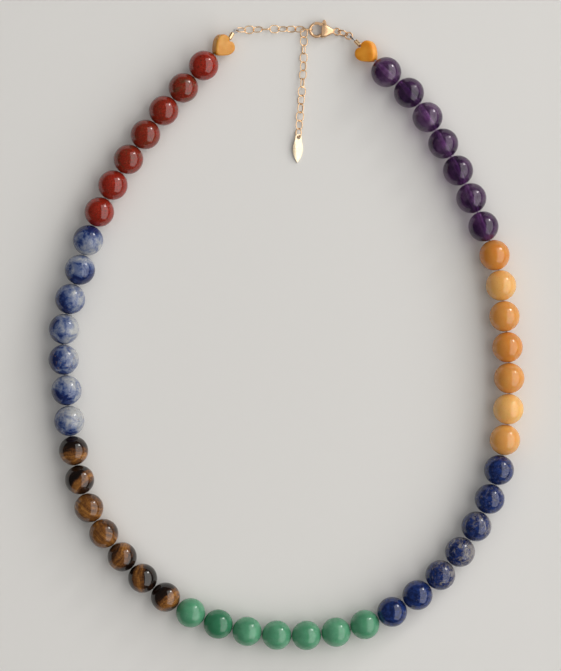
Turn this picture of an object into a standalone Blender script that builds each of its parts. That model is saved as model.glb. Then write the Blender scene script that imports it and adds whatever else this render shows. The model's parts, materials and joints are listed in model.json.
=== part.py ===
"""A closed beaded necklace lying on a table: round stone beads, two hearts, a clasp and an extender chain.

Metres. X is right and Y is up as seen from above, +Z is up. The origin is the middle of the underside.
"""

import math
from collections import namedtuple

import bmesh
import bpy
import numpy as np
from mathutils import Matrix, Vector

MM = 0.001

# Clearances between pieces that meet, round the wire's loops and under the metal, and the overlap of fused links
PIECE_GAP = 0.1 * MM
LOOP_GAP = 0.2 * MM
TABLE_GAP = 0.02 * MM
FUSE = 0.06 * MM

# Round stone beads, drilled for the wire
BEAD_DIAMETER = 8.0 * MM
BEAD_BORE = 1.0 * MM
BEAD_SIDES = 12
BEAD_BANDS = 6

# Heart beads, drilled from notch to tip
HEART_LENGTH = 5.7 * MM
HEART_WIDTH = 5.9 * MM
HEART_THICKNESS = 3.2 * MM
HEART_NOTCH = 0.5 * MM
HEART_BORE = 0.9 * MM

# Beading wire, its end loops and the crimps that close them
WIRE_DIAMETER = 0.34 * MM
LOOP_REACH = 1.8 * MM
LOOP_WIDTH = 1.0 * MM
LOOP_HEIGHT = 1.5 * MM
CRIMP_LENGTH = 1.9 * MM
CRIMP_WALL = 0.12 * MM
CRIMP_SEAT = 0.65 * MM

# Cable chain
LINK_LENGTH = 2.74 * MM
LINK_WIDTH = 2.25 * MM
LINK_WIRE = 0.28 * MM
HOOK_SPACING = 0.42 * MM

# Round jump rings beside the clasp, and the oval ring that carries the tag
CLASP_RING_DIAMETER = 3.0 * MM
STRAND_RING_DIAMETER = 2.3 * MM
JUMP_RING_WIRE = 0.4 * MM
TAG_RING_LENGTH = 2.7 * MM
TAG_RING_WIDTH = 2.5 * MM
TAG_RING_WIRE = 0.34 * MM
RING_SIDES = 12
WIRE_SIDES = 6

# Leaf-shaped end tag
TAG_LENGTH = 7.65 * MM
TAG_WIDTH = 2.7 * MM
TAG_THICKNESS = 0.35 * MM
TAG_HOLE = 1.0 * MM
TAG_HOLE_SEAT = 0.9 * MM
TAG_EYE_HEIGHT = 0.8 * MM
TAG_TIP_RISE = 0.11 * MM

# Lobster clasp, claw at X = 0 and eyelet at the far end
CLASP_LENGTH = 8.7 * MM
CLAW_WIDTH = 4.26 * MM
CLAW_WIRE = 0.78 * MM
TIP_ANGLE = math.radians(118)
TIP_OVERLENGTH = math.radians(10)
SHOULDER = 3.45 * MM
BODY_THICKNESS = 1.9 * MM
EYELET_DIAMETER = 2.2 * MM
EYELET_WIRE = 0.42 * MM
EYELET_SEAT = 0.12 * MM

# Sprung lever in the clasp's slot
LEVER_THICKNESS = 0.7 * MM
LEVER_BAND = 0.7 * MM
PIVOT_SETBACK = 0.7 * MM
PIVOT_SIDE = 1.4 * MM
BARREL_DIAMETER = 1.1 * MM
PIN_DIAMETER = 0.4 * MM
PIN_CLEARANCE = 0.08 * MM
NUB_HEIGHT = 1.5 * MM
NUB_WIDTH = 1.1 * MM

# The stones from the left heart round to the right one
Stone = namedtuple("Stone", "name count size colour roughness")
STONES = (
    Stone("red_jasper", 7, 0.99, (0.30, 0.035, 0.025), 0.25),
    Stone("sodalite", 7, 1.01, (0.20, 0.27, 0.48), 0.25),
    Stone("tigers_eye", 7, 0.975, (0.13, 0.055, 0.02), 0.2),
    Stone("green_aventurine", 7, 0.98, (0.07, 0.30, 0.15), 0.25),
    Stone("lapis_lazuli", 7, 1.0, (0.02, 0.04, 0.17), 0.3),
    Stone("yellow_jade", 7, 1.02, (0.75, 0.33, 0.09), 0.25),
    Stone("amethyst", 7, 1.01, (0.05, 0.01, 0.10), 0.15),
)
GOLD = (0.80, 0.52, 0.24)
STEEL = (0.35, 0.36, 0.38)
AMBER = (0.72, 0.29, 0.04)

# The closed route of the necklace, from the left heart's notch down the left side and back along the top
CLOSED_ROUTE = [
    (-15.5, 77.4),
    (-21.6, 71.0),
    (-36.8, 53.1),
    (-49.2, 32.4),
    (-52.3, 24.6),
    (-54.5, 16.6),
    (-57.0, 9.1),
    (-58.6, 1.0),
    (-57.9, -15.0),
    (-56.0, -31.0),
    (-52.0, -45.8),
    (-43.1, -58.8),
    (-24.9, -73.5),
    (-2.6, -79.2),
    (20.4, -76.5),
    (40.4, -63.5),
    (53.5, -43.3),
    (58.4, -19.8),
    (57.4, 4.5),
    (54.9, 20.4),
    (52.0, 28.0),
    (41.4, 50.0),
    (32.6, 63.2),
    (26.3, 69.0),
    (20.0, 75.6),
    (16.5, 78.9),
    (13.6, 80.1),
    (6.1, 80.6),
    (-3.3, 80.7),
    (-10.0, 80.5),
    (-13.4, 80.3),
]

# The extender's tail, from the held link's end down to the tag's tip
TAIL_ROUTE = [
    (0.0, 0.0),
    (-0.1, -1.9),
    (0.2, -4.2),
    (-0.1, -9.8),
    (-0.3, -16.4),
    (-1.1, -24.8),
    (-1.6, -35.0),
]

# How far each ring and link is rolled from lying flat, in degrees, in the order that it is laid
STRAND_RING_ROLL = 15
CLASP_RING_ROLL = -68
HELD_LINK_ROLL = 90
RUN_ROLLS = (35, -46, 46, 0, 85, 40, -15, 50)
TAIL_ROLLS = (28, -20, 70, 20, -42, 28, -65, -15, 36, -45, 12, -35)
TAG_RING_ROLL = 50
TAG_ROLL = -13
LOOP_ROLLS = {"left": 40, "right": 90}
HEART_ROLLS = {"left": -24, "right": 18}

# Outlines and sections as shares of the named sizes
Outline = namedtuple("Outline", "along out")
HEART_HALF = (
    Outline(0.02, 0.18),
    Outline(0.00, 0.45),
    Outline(0.06, 0.76),
    Outline(0.20, 0.96),
    Outline(0.38, 1.00),
    Outline(0.56, 0.88),
    Outline(0.74, 0.64),
    Outline(0.90, 0.36),
    Outline(0.98, 0.16),
)
Layer = namedtuple("Layer", "height inset")
HEART_LAYERS = (Layer(-0.5, 0.78), Layer(-0.3, 1.0), Layer(0.3, 1.0), Layer(0.5, 0.78))
TAG_HALF = (
    Outline(0.00, 0.20),
    Outline(0.03, 0.48),
    Outline(0.08, 0.65),
    Outline(0.14, 0.70),
    Outline(0.20, 0.69),
    Outline(0.28, 0.80),
    Outline(0.42, 0.97),
    Outline(0.55, 1.00),
    Outline(0.70, 0.88),
    Outline(0.85, 0.55),
    Outline(0.95, 0.22),
)
Section = namedtuple("Section", "along side thick")
BODY_SECTIONS = (
    Section(0.00, 0.93, 0.84),
    Section(0.20, 0.90, 1.00),
    Section(0.45, 0.74, 0.95),
    Section(0.70, 0.50, 0.76),
    Section(0.90, 0.32, 0.52),
    Section(1.00, 0.26, 0.42),
)
BODY_SIDES = 14
BODY_SQUARENESS = 2.6
SMOOTH_ANGLE = math.radians(40)
ROUTE_STEPS = 24

# Sizes that follow from the ones above
LOOP_OFFSET = (WIRE_DIAMETER + PIECE_GAP) / 2
CRIMP_BORE = 2 * LOOP_OFFSET + WIRE_DIAMETER + PIECE_GAP
CRIMP_DIAMETER = CRIMP_BORE + 2 * CRIMP_WALL
CLAW_RADIUS = (CLAW_WIDTH - CLAW_WIRE) / 2
CLAW_CENTRE = Vector((CLAW_WIDTH / 2, 0, 0))
BODY_LENGTH = CLASP_LENGTH - SHOULDER - EYELET_DIAMETER + EYELET_SEAT
PIVOT = Vector((SHOULDER + PIVOT_SETBACK, PIVOT_SIDE, 0))

Ring = namedtuple("Ring", "name length width wire roll")
Piece = namedtuple("Piece", "name reach wire_in wire_out rest gap")
Span = namedtuple("Span", "start end")


def clear_scene():
    for thing in list(bpy.data.objects):
        bpy.data.objects.remove(thing, do_unlink=True)


def material(name, colour, roughness, metallic=0.0):
    made = bpy.data.materials.new(name)
    made.use_nodes = True
    shader = made.node_tree.nodes["Principled BSDF"]
    shader.inputs["Base Color"].default_value = (*colour, 1)
    shader.inputs["Roughness"].default_value = roughness
    shader.inputs["Metallic"].default_value = metallic
    return made


# Routes

class Route:
    """A smooth curve through chosen points, scaled to a length and read by the distance along it."""

    def __init__(self, points, closed, length=None):
        line = np.array(smooth_line(points, closed)) * MM
        steps = np.linalg.norm(np.diff(line, axis=0), axis=1)
        scale = length / steps.sum() if length else 1.0
        self.line = line[0] + (line - line[0]) * scale
        self.distances = np.concatenate([[0], np.cumsum(steps) * scale])
        self.closed = closed

    def at(self, distance):
        total = self.distances[-1]
        if self.closed:
            distance %= total
        inside = min(max(distance, 0), total)
        x = np.interp(inside, self.distances, self.line[:, 0])
        y = np.interp(inside, self.distances, self.line[:, 1])
        first, last = (0, 1) if distance < 0 else (-2, -1)
        heading = Vector(self.line[last] - self.line[first]).normalized()
        return Vector((x, y)) + heading * (distance - inside)


def smooth_line(points, closed):
    """A dense line on a Catmull-Rom curve through the points, timed by their spacing."""
    knots = [Vector(point) for point in points]
    if closed:
        knots = [knots[-1], *knots, knots[0], knots[1]]
    else:
        knots = [2 * knots[0] - knots[1], *knots, 2 * knots[-1] - knots[-2]]
    line = []
    for a, b, c, d in zip(knots, knots[1:], knots[2:], knots[3:]):
        before, here, after = (b - a).length, (c - b).length, (d - c).length
        leave = here * ((b - a) / before - (c - a) / (before + here)) + (c - b)
        arrive = here * ((d - c) / after - (d - b) / (here + after)) + (c - b)
        for step in range(ROUTE_STEPS):
            t = step / ROUTE_STEPS
            line.append(
                b * (2 * t**3 - 3 * t**2 + 1)
                + leave * (t**3 - 2 * t**2 + t)
                + c * (3 * t**2 - 2 * t**3)
                + arrive * (t**3 - t**2)
            )
    return [*line, knots[-2]]


def frame(axis, roll=0.0):
    """The axes of a piece that points along axis: X along it, Y level and to its left, then rolled about X."""
    x = axis.normalized()
    y = Vector((0, 0, 1)).cross(x).normalized()
    turn = Matrix.Rotation(roll, 3, x)
    return Matrix((x, turn @ y, turn @ x.cross(y))).transposed()


# Meshes

def skin(name, rings, closed=False):
    """One closed body through rings of points: a loop of rings, or one with a face over each end."""
    shape = bmesh.new()
    rows = [[shape.verts.new(point) for point in ring] for ring in rings]
    pairs = list(zip(rows, rows[1:]))
    if closed:
        pairs.append((rows[-1], rows[0]))
    else:
        shape.faces.new(rows[0])
        shape.faces.new(rows[-1])
    for one, two in pairs:
        for k in range(len(one)):
            shape.faces.new((one[k - 1], one[k], two[k], two[k - 1]))
    bmesh.ops.recalc_face_normals(shape, faces=shape.faces)
    mesh = bpy.data.meshes.new(name)
    shape.to_mesh(mesh)
    shape.free()
    mesh.shade_smooth()
    mesh.set_sharp_from_angle(angle=SMOOTH_ANGLE)
    return mesh


def arc(count, start=0.0, sweep=math.tau, ends=False):
    """Angles spread over a sweep, with both ends or with the last one left out."""
    return [start + sweep * k / (count - 1 if ends else count) for k in range(count)]


def turned(name, profile, sides):
    """A closed profile of (along, radius) points turned round X, with one corner straight down."""
    rings = []
    for angle in arc(sides, -math.pi / 2):
        rings.append([(x, r * math.cos(angle), r * math.sin(angle)) for x, r in profile])
    return skin(name, rings, closed=True)


def prism(name, outline, height):
    """A flat outline as a plate of this height, centred on Z = 0."""
    return skin(name, [[(p[0], p[1], z) for p in outline] for z in (-height / 2, height / 2)])


def disc(radius, sides, centre=(0, 0)):
    return [(centre[0] + radius * math.cos(a), centre[1] + radius * math.sin(a)) for a in arc(sides)]


def rod(name, diameter, length, sides):
    """A solid rod along X, centred on the origin."""
    ends = (-length / 2, length / 2)
    return skin(name, [[(x, y, z) for y, z in disc(diameter / 2, sides)] for x in ends])


def oval_ring(name, length, width, wire):
    """A closed ring of round wire with round ends, long side on X, lying in the XY plane."""
    round_end = (width - wire) / 2
    straight = Vector(((length - width) / 2, 0, 0))
    rings = []
    for angle in arc(RING_SIDES):
        outward = Vector((math.cos(angle), math.sin(angle), 0))
        side = 0 if abs(outward.x) < 1e-6 else math.copysign(1, outward.x)
        middle = outward * round_end + straight * side
        rings.append([
            middle + (outward * math.cos(a) + Vector((0, 0, 1)) * math.sin(a)) * wire / 2
            for a in arc(WIRE_SIDES)
        ])
    return skin(name, rings, closed=True)


def tube(name, points, radii, sides):
    """Round wire along a line of points, its ends capped."""
    up = Vector((0, 0, 1))
    rings = []
    for k, point in enumerate(points):
        along = (points[min(k + 1, len(points) - 1)] - points[max(k - 1, 0)]).normalized()
        up = (up - along * up.dot(along)).normalized()
        across = along.cross(up)
        rings.append([point + (up * math.cos(a) + across * math.sin(a)) * radii[k] for a in arc(sides)])
    return skin(name, rings)


def mirrored(half, first, last, length, width):
    """A whole outline from its half: points (along, out) as shares, with any end points on the axis."""
    right = [(p.along * length, p.out * width / 2) for p in half]
    left = [(x, -y) for x, y in reversed(right)]
    return [*first, *right, *last, *left]


# Objects

def add(name, mesh, place, axes, finish, parent):
    made = bpy.data.objects.new(name, mesh)
    bpy.context.scene.collection.objects.link(made)
    made.location = place
    made.rotation_mode = "QUATERNION"
    made.rotation_quaternion = axes.to_quaternion()
    made.parent = parent
    if not mesh.materials:
        mesh.materials.append(finish)
    return made


def helper(name, mesh, place, axes, parent):
    """An object that only joins or cuts another."""
    made = add(name, mesh, place, axes, None, parent)
    made.hide_render = True
    made.display_type = "WIRE"
    return made


def combine(target, operation, other):
    boolean = target.modifiers.new(operation.lower() + "_" + other.name, "BOOLEAN")
    boolean.operation = operation
    boolean.object = other


def union_of(target, collection):
    boolean = target.modifiers.new("union", "BOOLEAN")
    boolean.operation = "UNION"
    boolean.operand_type = "COLLECTION"
    boolean.collection = collection


# Strand

def bead_radius(stone):
    return BEAD_DIAMETER * stone.size / 2


def bead_mesh(stone):
    """A ball with a bore along X: an arc from rim to rim, closed by the bore's wall."""
    radius = bead_radius(stone)
    rim = math.asin(BEAD_BORE / 2 / radius)
    angles = arc(BEAD_BANDS + 1, rim, math.pi - 2 * rim, ends=True)
    profile = [(-radius * math.cos(a), radius * math.sin(a)) for a in angles]
    return turned(stone.name, profile, BEAD_SIDES)


def heart_mesh():
    outline = mirrored(
        HEART_HALF, [(HEART_NOTCH, 0)], [(HEART_LENGTH, 0)], HEART_LENGTH, HEART_WIDTH
    )
    middle = Vector((HEART_LENGTH * 0.45, 0))
    rings = []
    for layer in HEART_LAYERS:
        flat = [middle + (Vector(point) - middle) * layer.inset for point in outline]
        rings.append([(p.x, p.y, layer.height * HEART_THICKNESS) for p in flat])
    return skin("heart", rings)


def strand_stations():
    """The distance of each bead's centre from the left heart's notch, and the right heart's notch."""
    distance = HEART_LENGTH - HEART_NOTCH
    beads = []
    for stone in STONES:
        radius = bead_radius(stone)
        for number in range(1, stone.count + 1):
            beads.append((f"{stone.name}_{number}", stone, distance + PIECE_GAP + radius))
            distance += PIECE_GAP + 2 * radius
    return beads, distance + PIECE_GAP + HEART_LENGTH - HEART_NOTCH


# Closing run

def rest_height(ring):
    """How high a rolled ring's middle lies when its lower side touches the table."""
    rise = (ring.width - ring.wire) / 2 * abs(math.sin(math.radians(ring.roll)))
    return rise + ring.wire / 2 + TABLE_GAP


def link(name, roll):
    return Ring(name, LINK_LENGTH, LINK_WIDTH, LINK_WIRE, roll)


def jump_ring(name, diameter, roll):
    return Ring(name, diameter, diameter, JUMP_RING_WIRE, roll)


STRAND_RING = jump_ring("strand_ring", STRAND_RING_DIAMETER, STRAND_RING_ROLL)
CLASP_RING = jump_ring("clasp_ring", CLASP_RING_DIAMETER, CLASP_RING_ROLL)
HELD_LINK = link("held_link", HELD_LINK_ROLL)
RUN_LINKS = [link(f"run_link_{k}", roll) for k, roll in enumerate(RUN_ROLLS, 1)]
TAIL_LINKS = [link(f"tail_link_{k}", roll) for k, roll in enumerate(TAIL_ROLLS, 1)]
TAG_RING = Ring("tag_ring", TAG_RING_LENGTH, TAG_RING_WIDTH, TAG_RING_WIRE, TAG_RING_ROLL)


def ring_piece(ring, gap):
    reach = ring.length - ring.wire
    return Piece(ring.name, reach, ring.wire, ring.wire, rest_height(ring), gap)


def closing_pieces():
    """Everything between the two crimps, from the right one to the left one."""
    loop = Piece("loop_right", LOOP_REACH, WIRE_DIAMETER, WIRE_DIAMETER, LOOP_HEIGHT, PIECE_GAP)
    reach = CLASP_LENGTH - EYELET_WIRE / 2 - CLAW_WIRE / 2
    clasp = Piece("clasp", reach, EYELET_WIRE, CLAW_WIRE, rest_height(HELD_LINK), PIECE_GAP)
    return [
        loop,
        ring_piece(STRAND_RING, LOOP_GAP),
        ring_piece(CLASP_RING, PIECE_GAP),
        clasp,
        ring_piece(HELD_LINK, PIECE_GAP),
        *[ring_piece(ring, -FUSE) for ring in RUN_LINKS],
        loop._replace(name="loop_left", gap=LOOP_GAP),
    ]


def hook_together(pieces, distance):
    """Spans of hooked pieces laid one after another, and the height at each hooked pair."""
    spans = {pieces[0].name: Span(distance, distance + pieces[0].reach)}
    heights = []
    for one, two in zip(pieces, pieces[1:]):
        end = spans[one.name].end
        start = end - (one.wire_out + two.wire_in) / 2 - two.gap
        spans[two.name] = Span(start, start + two.reach)
        heights.append(((start + end) / 2, max(one.rest, two.rest)))
    return spans, heights


def place_ring(ring, start, end, finish, parent):
    """A ring between two points on its centre line, as an object."""
    mesh = oval_ring(ring.name, ring.length, ring.width, ring.wire)
    axes = frame(end - start, math.radians(ring.roll))
    return add(ring.name, mesh, (start + end) / 2, axes, finish, parent)


# Clasp

def on_claw(angle, radius):
    return CLAW_CENTRE + Vector((math.cos(angle), math.sin(angle), 0)) * radius


def claw_mesh():
    """The hook from inside the body's lower side round past the tip, which is then cut to the lever's swing."""
    root = Vector((SHOULDER + CLAW_WIRE, -CLAW_RADIUS * 0.72, 0))
    first = math.radians(-42)
    angles = arc(12, first, TIP_ANGLE - TIP_OVERLENGTH - math.tau - first, ends=True)
    points = [root, *[on_claw(angle, CLAW_RADIUS) for angle in angles]]
    return tube("claw", points, [CLAW_WIRE / 2] * len(points), 8)


def tip_reach():
    """From the pivot to the middle of the gap between the claw's tip and the lever's."""
    return (on_claw(TIP_ANGLE, CLAW_RADIUS) - PIVOT).length


def tip_sector():
    """What the lever's tip sweeps and its clearance, round the pivot, seen from above."""
    reach = tip_reach() + PIECE_GAP / 2
    angles = arc(9, math.radians(150), math.radians(56), ends=True)
    return [(0, 0), *[(reach * math.cos(a), reach * math.sin(a)) for a in angles]]


def swing_angle(radius):
    """Where on a circle round the claw's centre the lever's tip, which turns round the pivot, ends."""
    reach = tip_reach() - PIECE_GAP / 2
    away = PIVOT - CLAW_CENTRE
    cosine = (radius**2 + away.length_squared - reach**2) / (2 * radius * away.length)
    return math.atan2(away.y, away.x) + math.acos(cosine)


def body_mesh():
    rings = []
    for section in BODY_SECTIONS:
        x = SHOULDER + section.along * BODY_LENGTH
        ring = []
        for angle in arc(BODY_SIDES):
            y, z = math.cos(angle), math.sin(angle)
            grow = (abs(y) ** BODY_SQUARENESS + abs(z) ** BODY_SQUARENESS) ** (-1 / BODY_SQUARENESS)
            y *= grow * section.side * CLAW_WIDTH / 2
            z *= grow * section.thick * BODY_THICKNESS / 2
            ring.append((x, y, z))
        rings.append(ring)
    return skin("clasp_body", rings)


def lever_outline():
    """The lever seen from above: band under the claw's tip, barrel round the pin, nub outside."""
    outer = CLAW_WIDTH / 2
    inner = outer - LEVER_BAND
    tip_in, tip_out = swing_angle(inner), swing_angle(outer)
    barrel = BARREL_DIAMETER / 2
    nub = PIVOT + Vector((-NUB_WIDTH * 0.1, NUB_HEIGHT, 0))
    points = [on_claw(angle, inner) for angle in arc(5, math.radians(52), tip_in - math.radians(52), ends=True)]
    points += [on_claw(angle, outer) for angle in arc(4, tip_out, math.radians(76) - tip_out, ends=True)]
    points += [
        PIVOT + Vector((-NUB_WIDTH * 0.6, NUB_HEIGHT * 0.4, 0)),
        nub + Vector((-NUB_WIDTH * 0.12, 0, 0)),
        nub + Vector((NUB_WIDTH * 0.12, 0, 0)),
        PIVOT + Vector((NUB_WIDTH * 0.38, NUB_HEIGHT * 0.4, 0)),
    ]
    points += [
        PIVOT + Vector((math.cos(a), math.sin(a), 0)) * barrel
        for a in arc(7, math.radians(20), math.radians(-190), ends=True)
    ]
    return [point - PIVOT for point in points]


def build_clasp(claw_end, eyelet_end, finish, parent):
    axes = frame(eyelet_end - claw_end)
    place = claw_end - axes.col[0] * CLAW_WIRE / 2
    body = add("clasp_body", body_mesh(), place, axes, finish, parent)
    still = Matrix.Identity(3)
    lengthways = Matrix.Rotation(math.radians(90), 3, "Y")
    eyelet_place = Vector((CLASP_LENGTH - EYELET_DIAMETER / 2, 0, 0))
    eyelet = oval_ring("eyelet", EYELET_DIAMETER, EYELET_DIAMETER, EYELET_WIRE)
    claw = helper("claw", claw_mesh(), Vector(), still, body)
    tip_cut = prism("tip_cut", tip_sector(), 2 * CLAW_WIRE)
    combine(claw, "DIFFERENCE", helper("tip_cut", tip_cut, PIVOT, still, body))
    combine(body, "UNION", claw)
    combine(body, "UNION", helper("eyelet", eyelet, eyelet_place, still, body))
    slot_end = PIVOT.x + BARREL_DIAMETER / 2 + PIECE_GAP
    slot_floor = PIVOT.y - BARREL_DIAMETER / 2 - PIECE_GAP
    slot = [
        (SHOULDER - LEVER_BAND, slot_floor - LEVER_BAND / 4),
        (PIVOT.x, slot_floor),
        (slot_end, slot_floor + BARREL_DIAMETER / 4),
        (slot_end, CLAW_WIDTH),
        (SHOULDER - LEVER_BAND, CLAW_WIDTH),
    ]
    cutter = prism("slot", slot, LEVER_THICKNESS + 2 * PIECE_GAP)
    combine(body, "DIFFERENCE", helper("slot", cutter, Vector(), still, body))
    pin = rod("pin", PIN_DIAMETER, BODY_THICKNESS * 0.72, 10)
    combine(body, "UNION", helper("pin", pin, PIVOT, lengthways, body))
    lever_mesh = prism("clasp_lever", [p.to_2d() for p in lever_outline()], LEVER_THICKNESS)
    lever = add("clasp_lever", lever_mesh, place + axes @ PIVOT, axes, finish, parent)
    hole = rod("pin_hole", PIN_DIAMETER + 2 * PIN_CLEARANCE, LEVER_THICKNESS * 2, 10)
    combine(lever, "DIFFERENCE", helper("pin_hole", hole, Vector(), lengthways, lever))


# Wire

def end_loop(crimp_inner, crimp_outer, far_end, side):
    """The wire's path from the crimp's inner end out round the loop and back into the crimp."""
    roll = math.radians(LOOP_ROLLS[side])
    axes = frame(far_end - crimp_outer, roll)
    outward, across = axes.col[0], axes.col[1]
    beside = frame(crimp_outer - crimp_inner, roll).col[1] * LOOP_OFFSET
    turn = far_end - outward * LOOP_WIDTH / 2
    bow = []
    for angle in arc(7, 0, math.pi, ends=True):
        bow.append(turn + (outward * math.sin(angle) - across * math.cos(angle)) * LOOP_WIDTH / 2)
    return [
        crimp_inner - beside,
        crimp_outer - beside,
        *bow,
        crimp_outer + beside,
        crimp_outer.lerp(crimp_inner, 0.8) + beside,
    ]


def crimp_mesh():
    half = CRIMP_LENGTH / 2
    inner, outer = CRIMP_BORE / 2, CRIMP_DIAMETER / 2
    return turned("crimp", [(-half, inner), (-half, outer), (half, outer), (half, inner)], RING_SIDES)


# Assembly

def build():
    clear_scene()
    root = bpy.data.objects.new("necklace", None)
    bpy.context.scene.collection.objects.link(root)
    gold = material("gold", GOLD, 0.2, 1.0)
    steel = material("steel", STEEL, 0.3, 1.0)
    amber = material("amber", AMBER, 0.45)

    beads, right_notch = strand_stations()
    right_crimp = Span(right_notch + CRIMP_SEAT, right_notch + CRIMP_SEAT + CRIMP_LENGTH)
    spans, heights = hook_together(closing_pieces(), right_crimp.end)
    left_crimp = Span(spans["loop_left"].end, spans["loop_left"].end + CRIMP_LENGTH)
    around = left_crimp.end + CRIMP_SEAT
    route = Route(CLOSED_ROUTE, closed=True, length=around)

    heights += [(distance, bead_radius(stone)) for _, stone, distance in beads]
    for (_, stone, distance), side in ((beads[0], -1), (beads[-1], 1)):
        heights.append((distance + side * bead_radius(stone), bead_radius(stone)))
    heights.sort()
    marks, levels = zip(*heights)

    def spot(distance):
        flat = route.at(distance)
        return Vector((*flat, np.interp(distance, marks, levels, period=around)))

    # Beads and hearts, with the two ends of each one's bore
    bores = []
    meshes = {stone.name: bead_mesh(stone) for stone in STONES}
    finishes = {stone.name: material(stone.name, stone.colour, stone.roughness) for stone in STONES}
    for name, stone, distance in beads:
        radius = bead_radius(stone)
        axes = frame(spot(distance + radius) - spot(distance - radius))
        add(name, meshes[stone.name], spot(distance), axes, finishes[stone.name], root)
        half_bore = axes.col[0] * radius
        bores.append((spot(distance) - half_bore, spot(distance) + half_bore))
    heart = heart_mesh()
    notches, tips = {}, {}
    core = HEART_LENGTH - HEART_NOTCH
    ends = {"left": (0, core), "right": (right_notch, right_notch - core)}
    for side, (notch, tip) in ends.items():
        notches[side], tips[side] = spot(notch), spot(tip)
        axes = frame(tips[side] - notches[side], math.radians(HEART_ROLLS[side]))
        place = notches[side] - axes.col[0] * HEART_NOTCH
        made = add(f"heart_{side}", heart, place, axes, amber, root)
        drill = rod(f"drill_{side}", HEART_BORE, HEART_LENGTH * 3, 8)
        combine(made, "DIFFERENCE", helper(f"drill_{side}", drill, Vector(), Matrix.Identity(3), made))
    exits = [tips["left"], *[end for _, end in bores]]
    entries = [*[start for start, _ in bores], tips["right"]]
    meetings = [(one + two) / 2 for one, two in zip(exits, entries)]

    # Crimps and wire
    crimp = crimp_mesh()
    crimps = {"left": left_crimp, "right": Span(right_crimp.end, right_crimp.start)}
    for side, span in crimps.items():
        start, end = spot(span.start), spot(span.end)
        add(f"crimp_{side}", crimp, (start + end) / 2, frame(end - start), gold, root)
    middle_path = [notches["left"], *meetings, notches["right"]]
    far_ends = {"left": spot(spans["loop_left"].start), "right": spot(spans["loop_right"].end)}
    left_loop = end_loop(spot(left_crimp.end), spot(left_crimp.start), far_ends["left"], "left")
    right_loop = end_loop(spot(right_crimp.start), spot(right_crimp.end), far_ends["right"], "right")
    path = [*reversed(left_loop), *middle_path, *right_loop]
    wire = tube("bead_wire", path, [WIRE_DIAMETER / 2] * len(path), WIRE_SIDES)
    add("bead_wire", wire, Vector(), Matrix.Identity(3), steel, root)

    # Rings, clasp and chain
    for ring in (STRAND_RING, CLASP_RING):
        place_ring(ring, spot(spans[ring.name].start), spot(spans[ring.name].end), gold, root)
    clasp_height = Vector((0, 0, rest_height(HELD_LINK)))
    claw_end = route.at(spans["clasp"].end).to_3d() + clasp_height
    eyelet_end = route.at(spans["clasp"].start).to_3d() + clasp_height
    build_clasp(claw_end, eyelet_end, gold, root)

    fused = bpy.data.collections.new("chain_links")
    chain = place_ring(
        HELD_LINK, spot(spans["held_link"].start), spot(spans["held_link"].end), gold, root
    )
    chain.name = "extender_chain"
    links = []
    for ring in RUN_LINKS:
        start, end = spot(spans[ring.name].start), spot(spans[ring.name].end)
        links.append(place_ring(ring, start, end, gold, root))
    tail = [ring_piece(ring, -FUSE) for ring in (*TAIL_LINKS, TAG_RING)]
    tail_spans, tail_heights = hook_together(tail, FUSE - LINK_WIRE)
    tail_spot = tail_spotter(route.at(spans["held_link"].end), tail_spans, tail_heights)
    for ring in (*TAIL_LINKS, TAG_RING):
        span = tail_spans[ring.name]
        links.append(place_ring(ring, tail_spot(span.start), tail_spot(span.end), gold, root))
    for made in links:
        made.hide_render = True
        made.display_type = "WIRE"
        fused.objects.link(made)
    union_of(chain, fused)
    build_tag(tail_spot, tail_spans["tag_ring"].end, gold, root)
    centre_on_table(root)


def tail_spotter(start, spans, heights):
    """A function that gives points on the tail, from the height of the held link's lower hook to the tag's eye."""
    route = Route(TAIL_ROUTE, closed=False)
    first = (0, rest_height(HELD_LINK) - HOOK_SPACING)
    last = (spans["tag_ring"].end, TAG_EYE_HEIGHT)
    ring_start = spans["tag_ring"].start
    eye_rise = 2 * rest_height(TAG_RING) - TAG_EYE_HEIGHT
    levels = [first, *[(d, z) for d, z in heights if d < ring_start], (ring_start, eye_rise), last]
    marks, rises = zip(*levels)

    def spot(distance):
        flat = route.at(distance) + start - route.at(0)
        return Vector((*flat, np.interp(distance, marks, rises)))

    return spot


def build_tag(tail_spot, eye_distance, finish, parent):
    """The tag, its eye held up by its ring and its tip on the table, tipped so that one long edge rests there."""
    outline = mirrored(TAG_HALF, [], [(TAG_LENGTH, 0)], TAG_LENGTH, TAG_WIDTH)
    eye = tail_spot(eye_distance)
    tip = tail_spot(eye_distance + TAG_LENGTH - TAG_HOLE_SEAT)
    tip.z = TAG_THICKNESS / 2 + TAG_TIP_RISE
    axes = frame(tip - eye, math.radians(TAG_ROLL))
    place = eye - axes.col[0] * TAG_HOLE_SEAT
    tag = add("tag", prism("tag", outline, TAG_THICKNESS), place, axes, finish, parent)
    upright = Matrix.Rotation(math.radians(90), 3, "Y")
    hole = rod("tag_hole", TAG_HOLE, TAG_THICKNESS * 4, RING_SIDES)
    eye_place = Vector((TAG_HOLE_SEAT, 0, 0))
    combine(tag, "DIFFERENCE", helper("tag_hole", hole, eye_place, upright, tag))


def centre_on_table(root):
    """Moves the whole necklace so that the middle of its underside is the origin."""
    bpy.context.view_layer.update()
    corners = []
    for thing in bpy.context.scene.collection.objects:
        if thing.type == "MESH" and not thing.hide_render:
            corners += [thing.matrix_world @ vertex.co for vertex in thing.data.vertices]
    low = np.min(corners, axis=0)
    high = np.max(corners, axis=0)
    root.location = (-(low[0] + high[0]) / 2, -(low[1] + high[1]) / 2, -low[2])
    bpy.context.view_layer.update()


build()
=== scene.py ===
# %% [markdown]
# # A beaded gemstone necklace
# A closed necklace lies on a pale table and is seen from straight above. Its solids come from the packed
# frame, which says how large every piece is and where it lies. This script gives each piece its fine
# surface: round polished stones, gold findings, fine chain and steel wire.

# %% Load the frame
import json
import math

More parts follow.
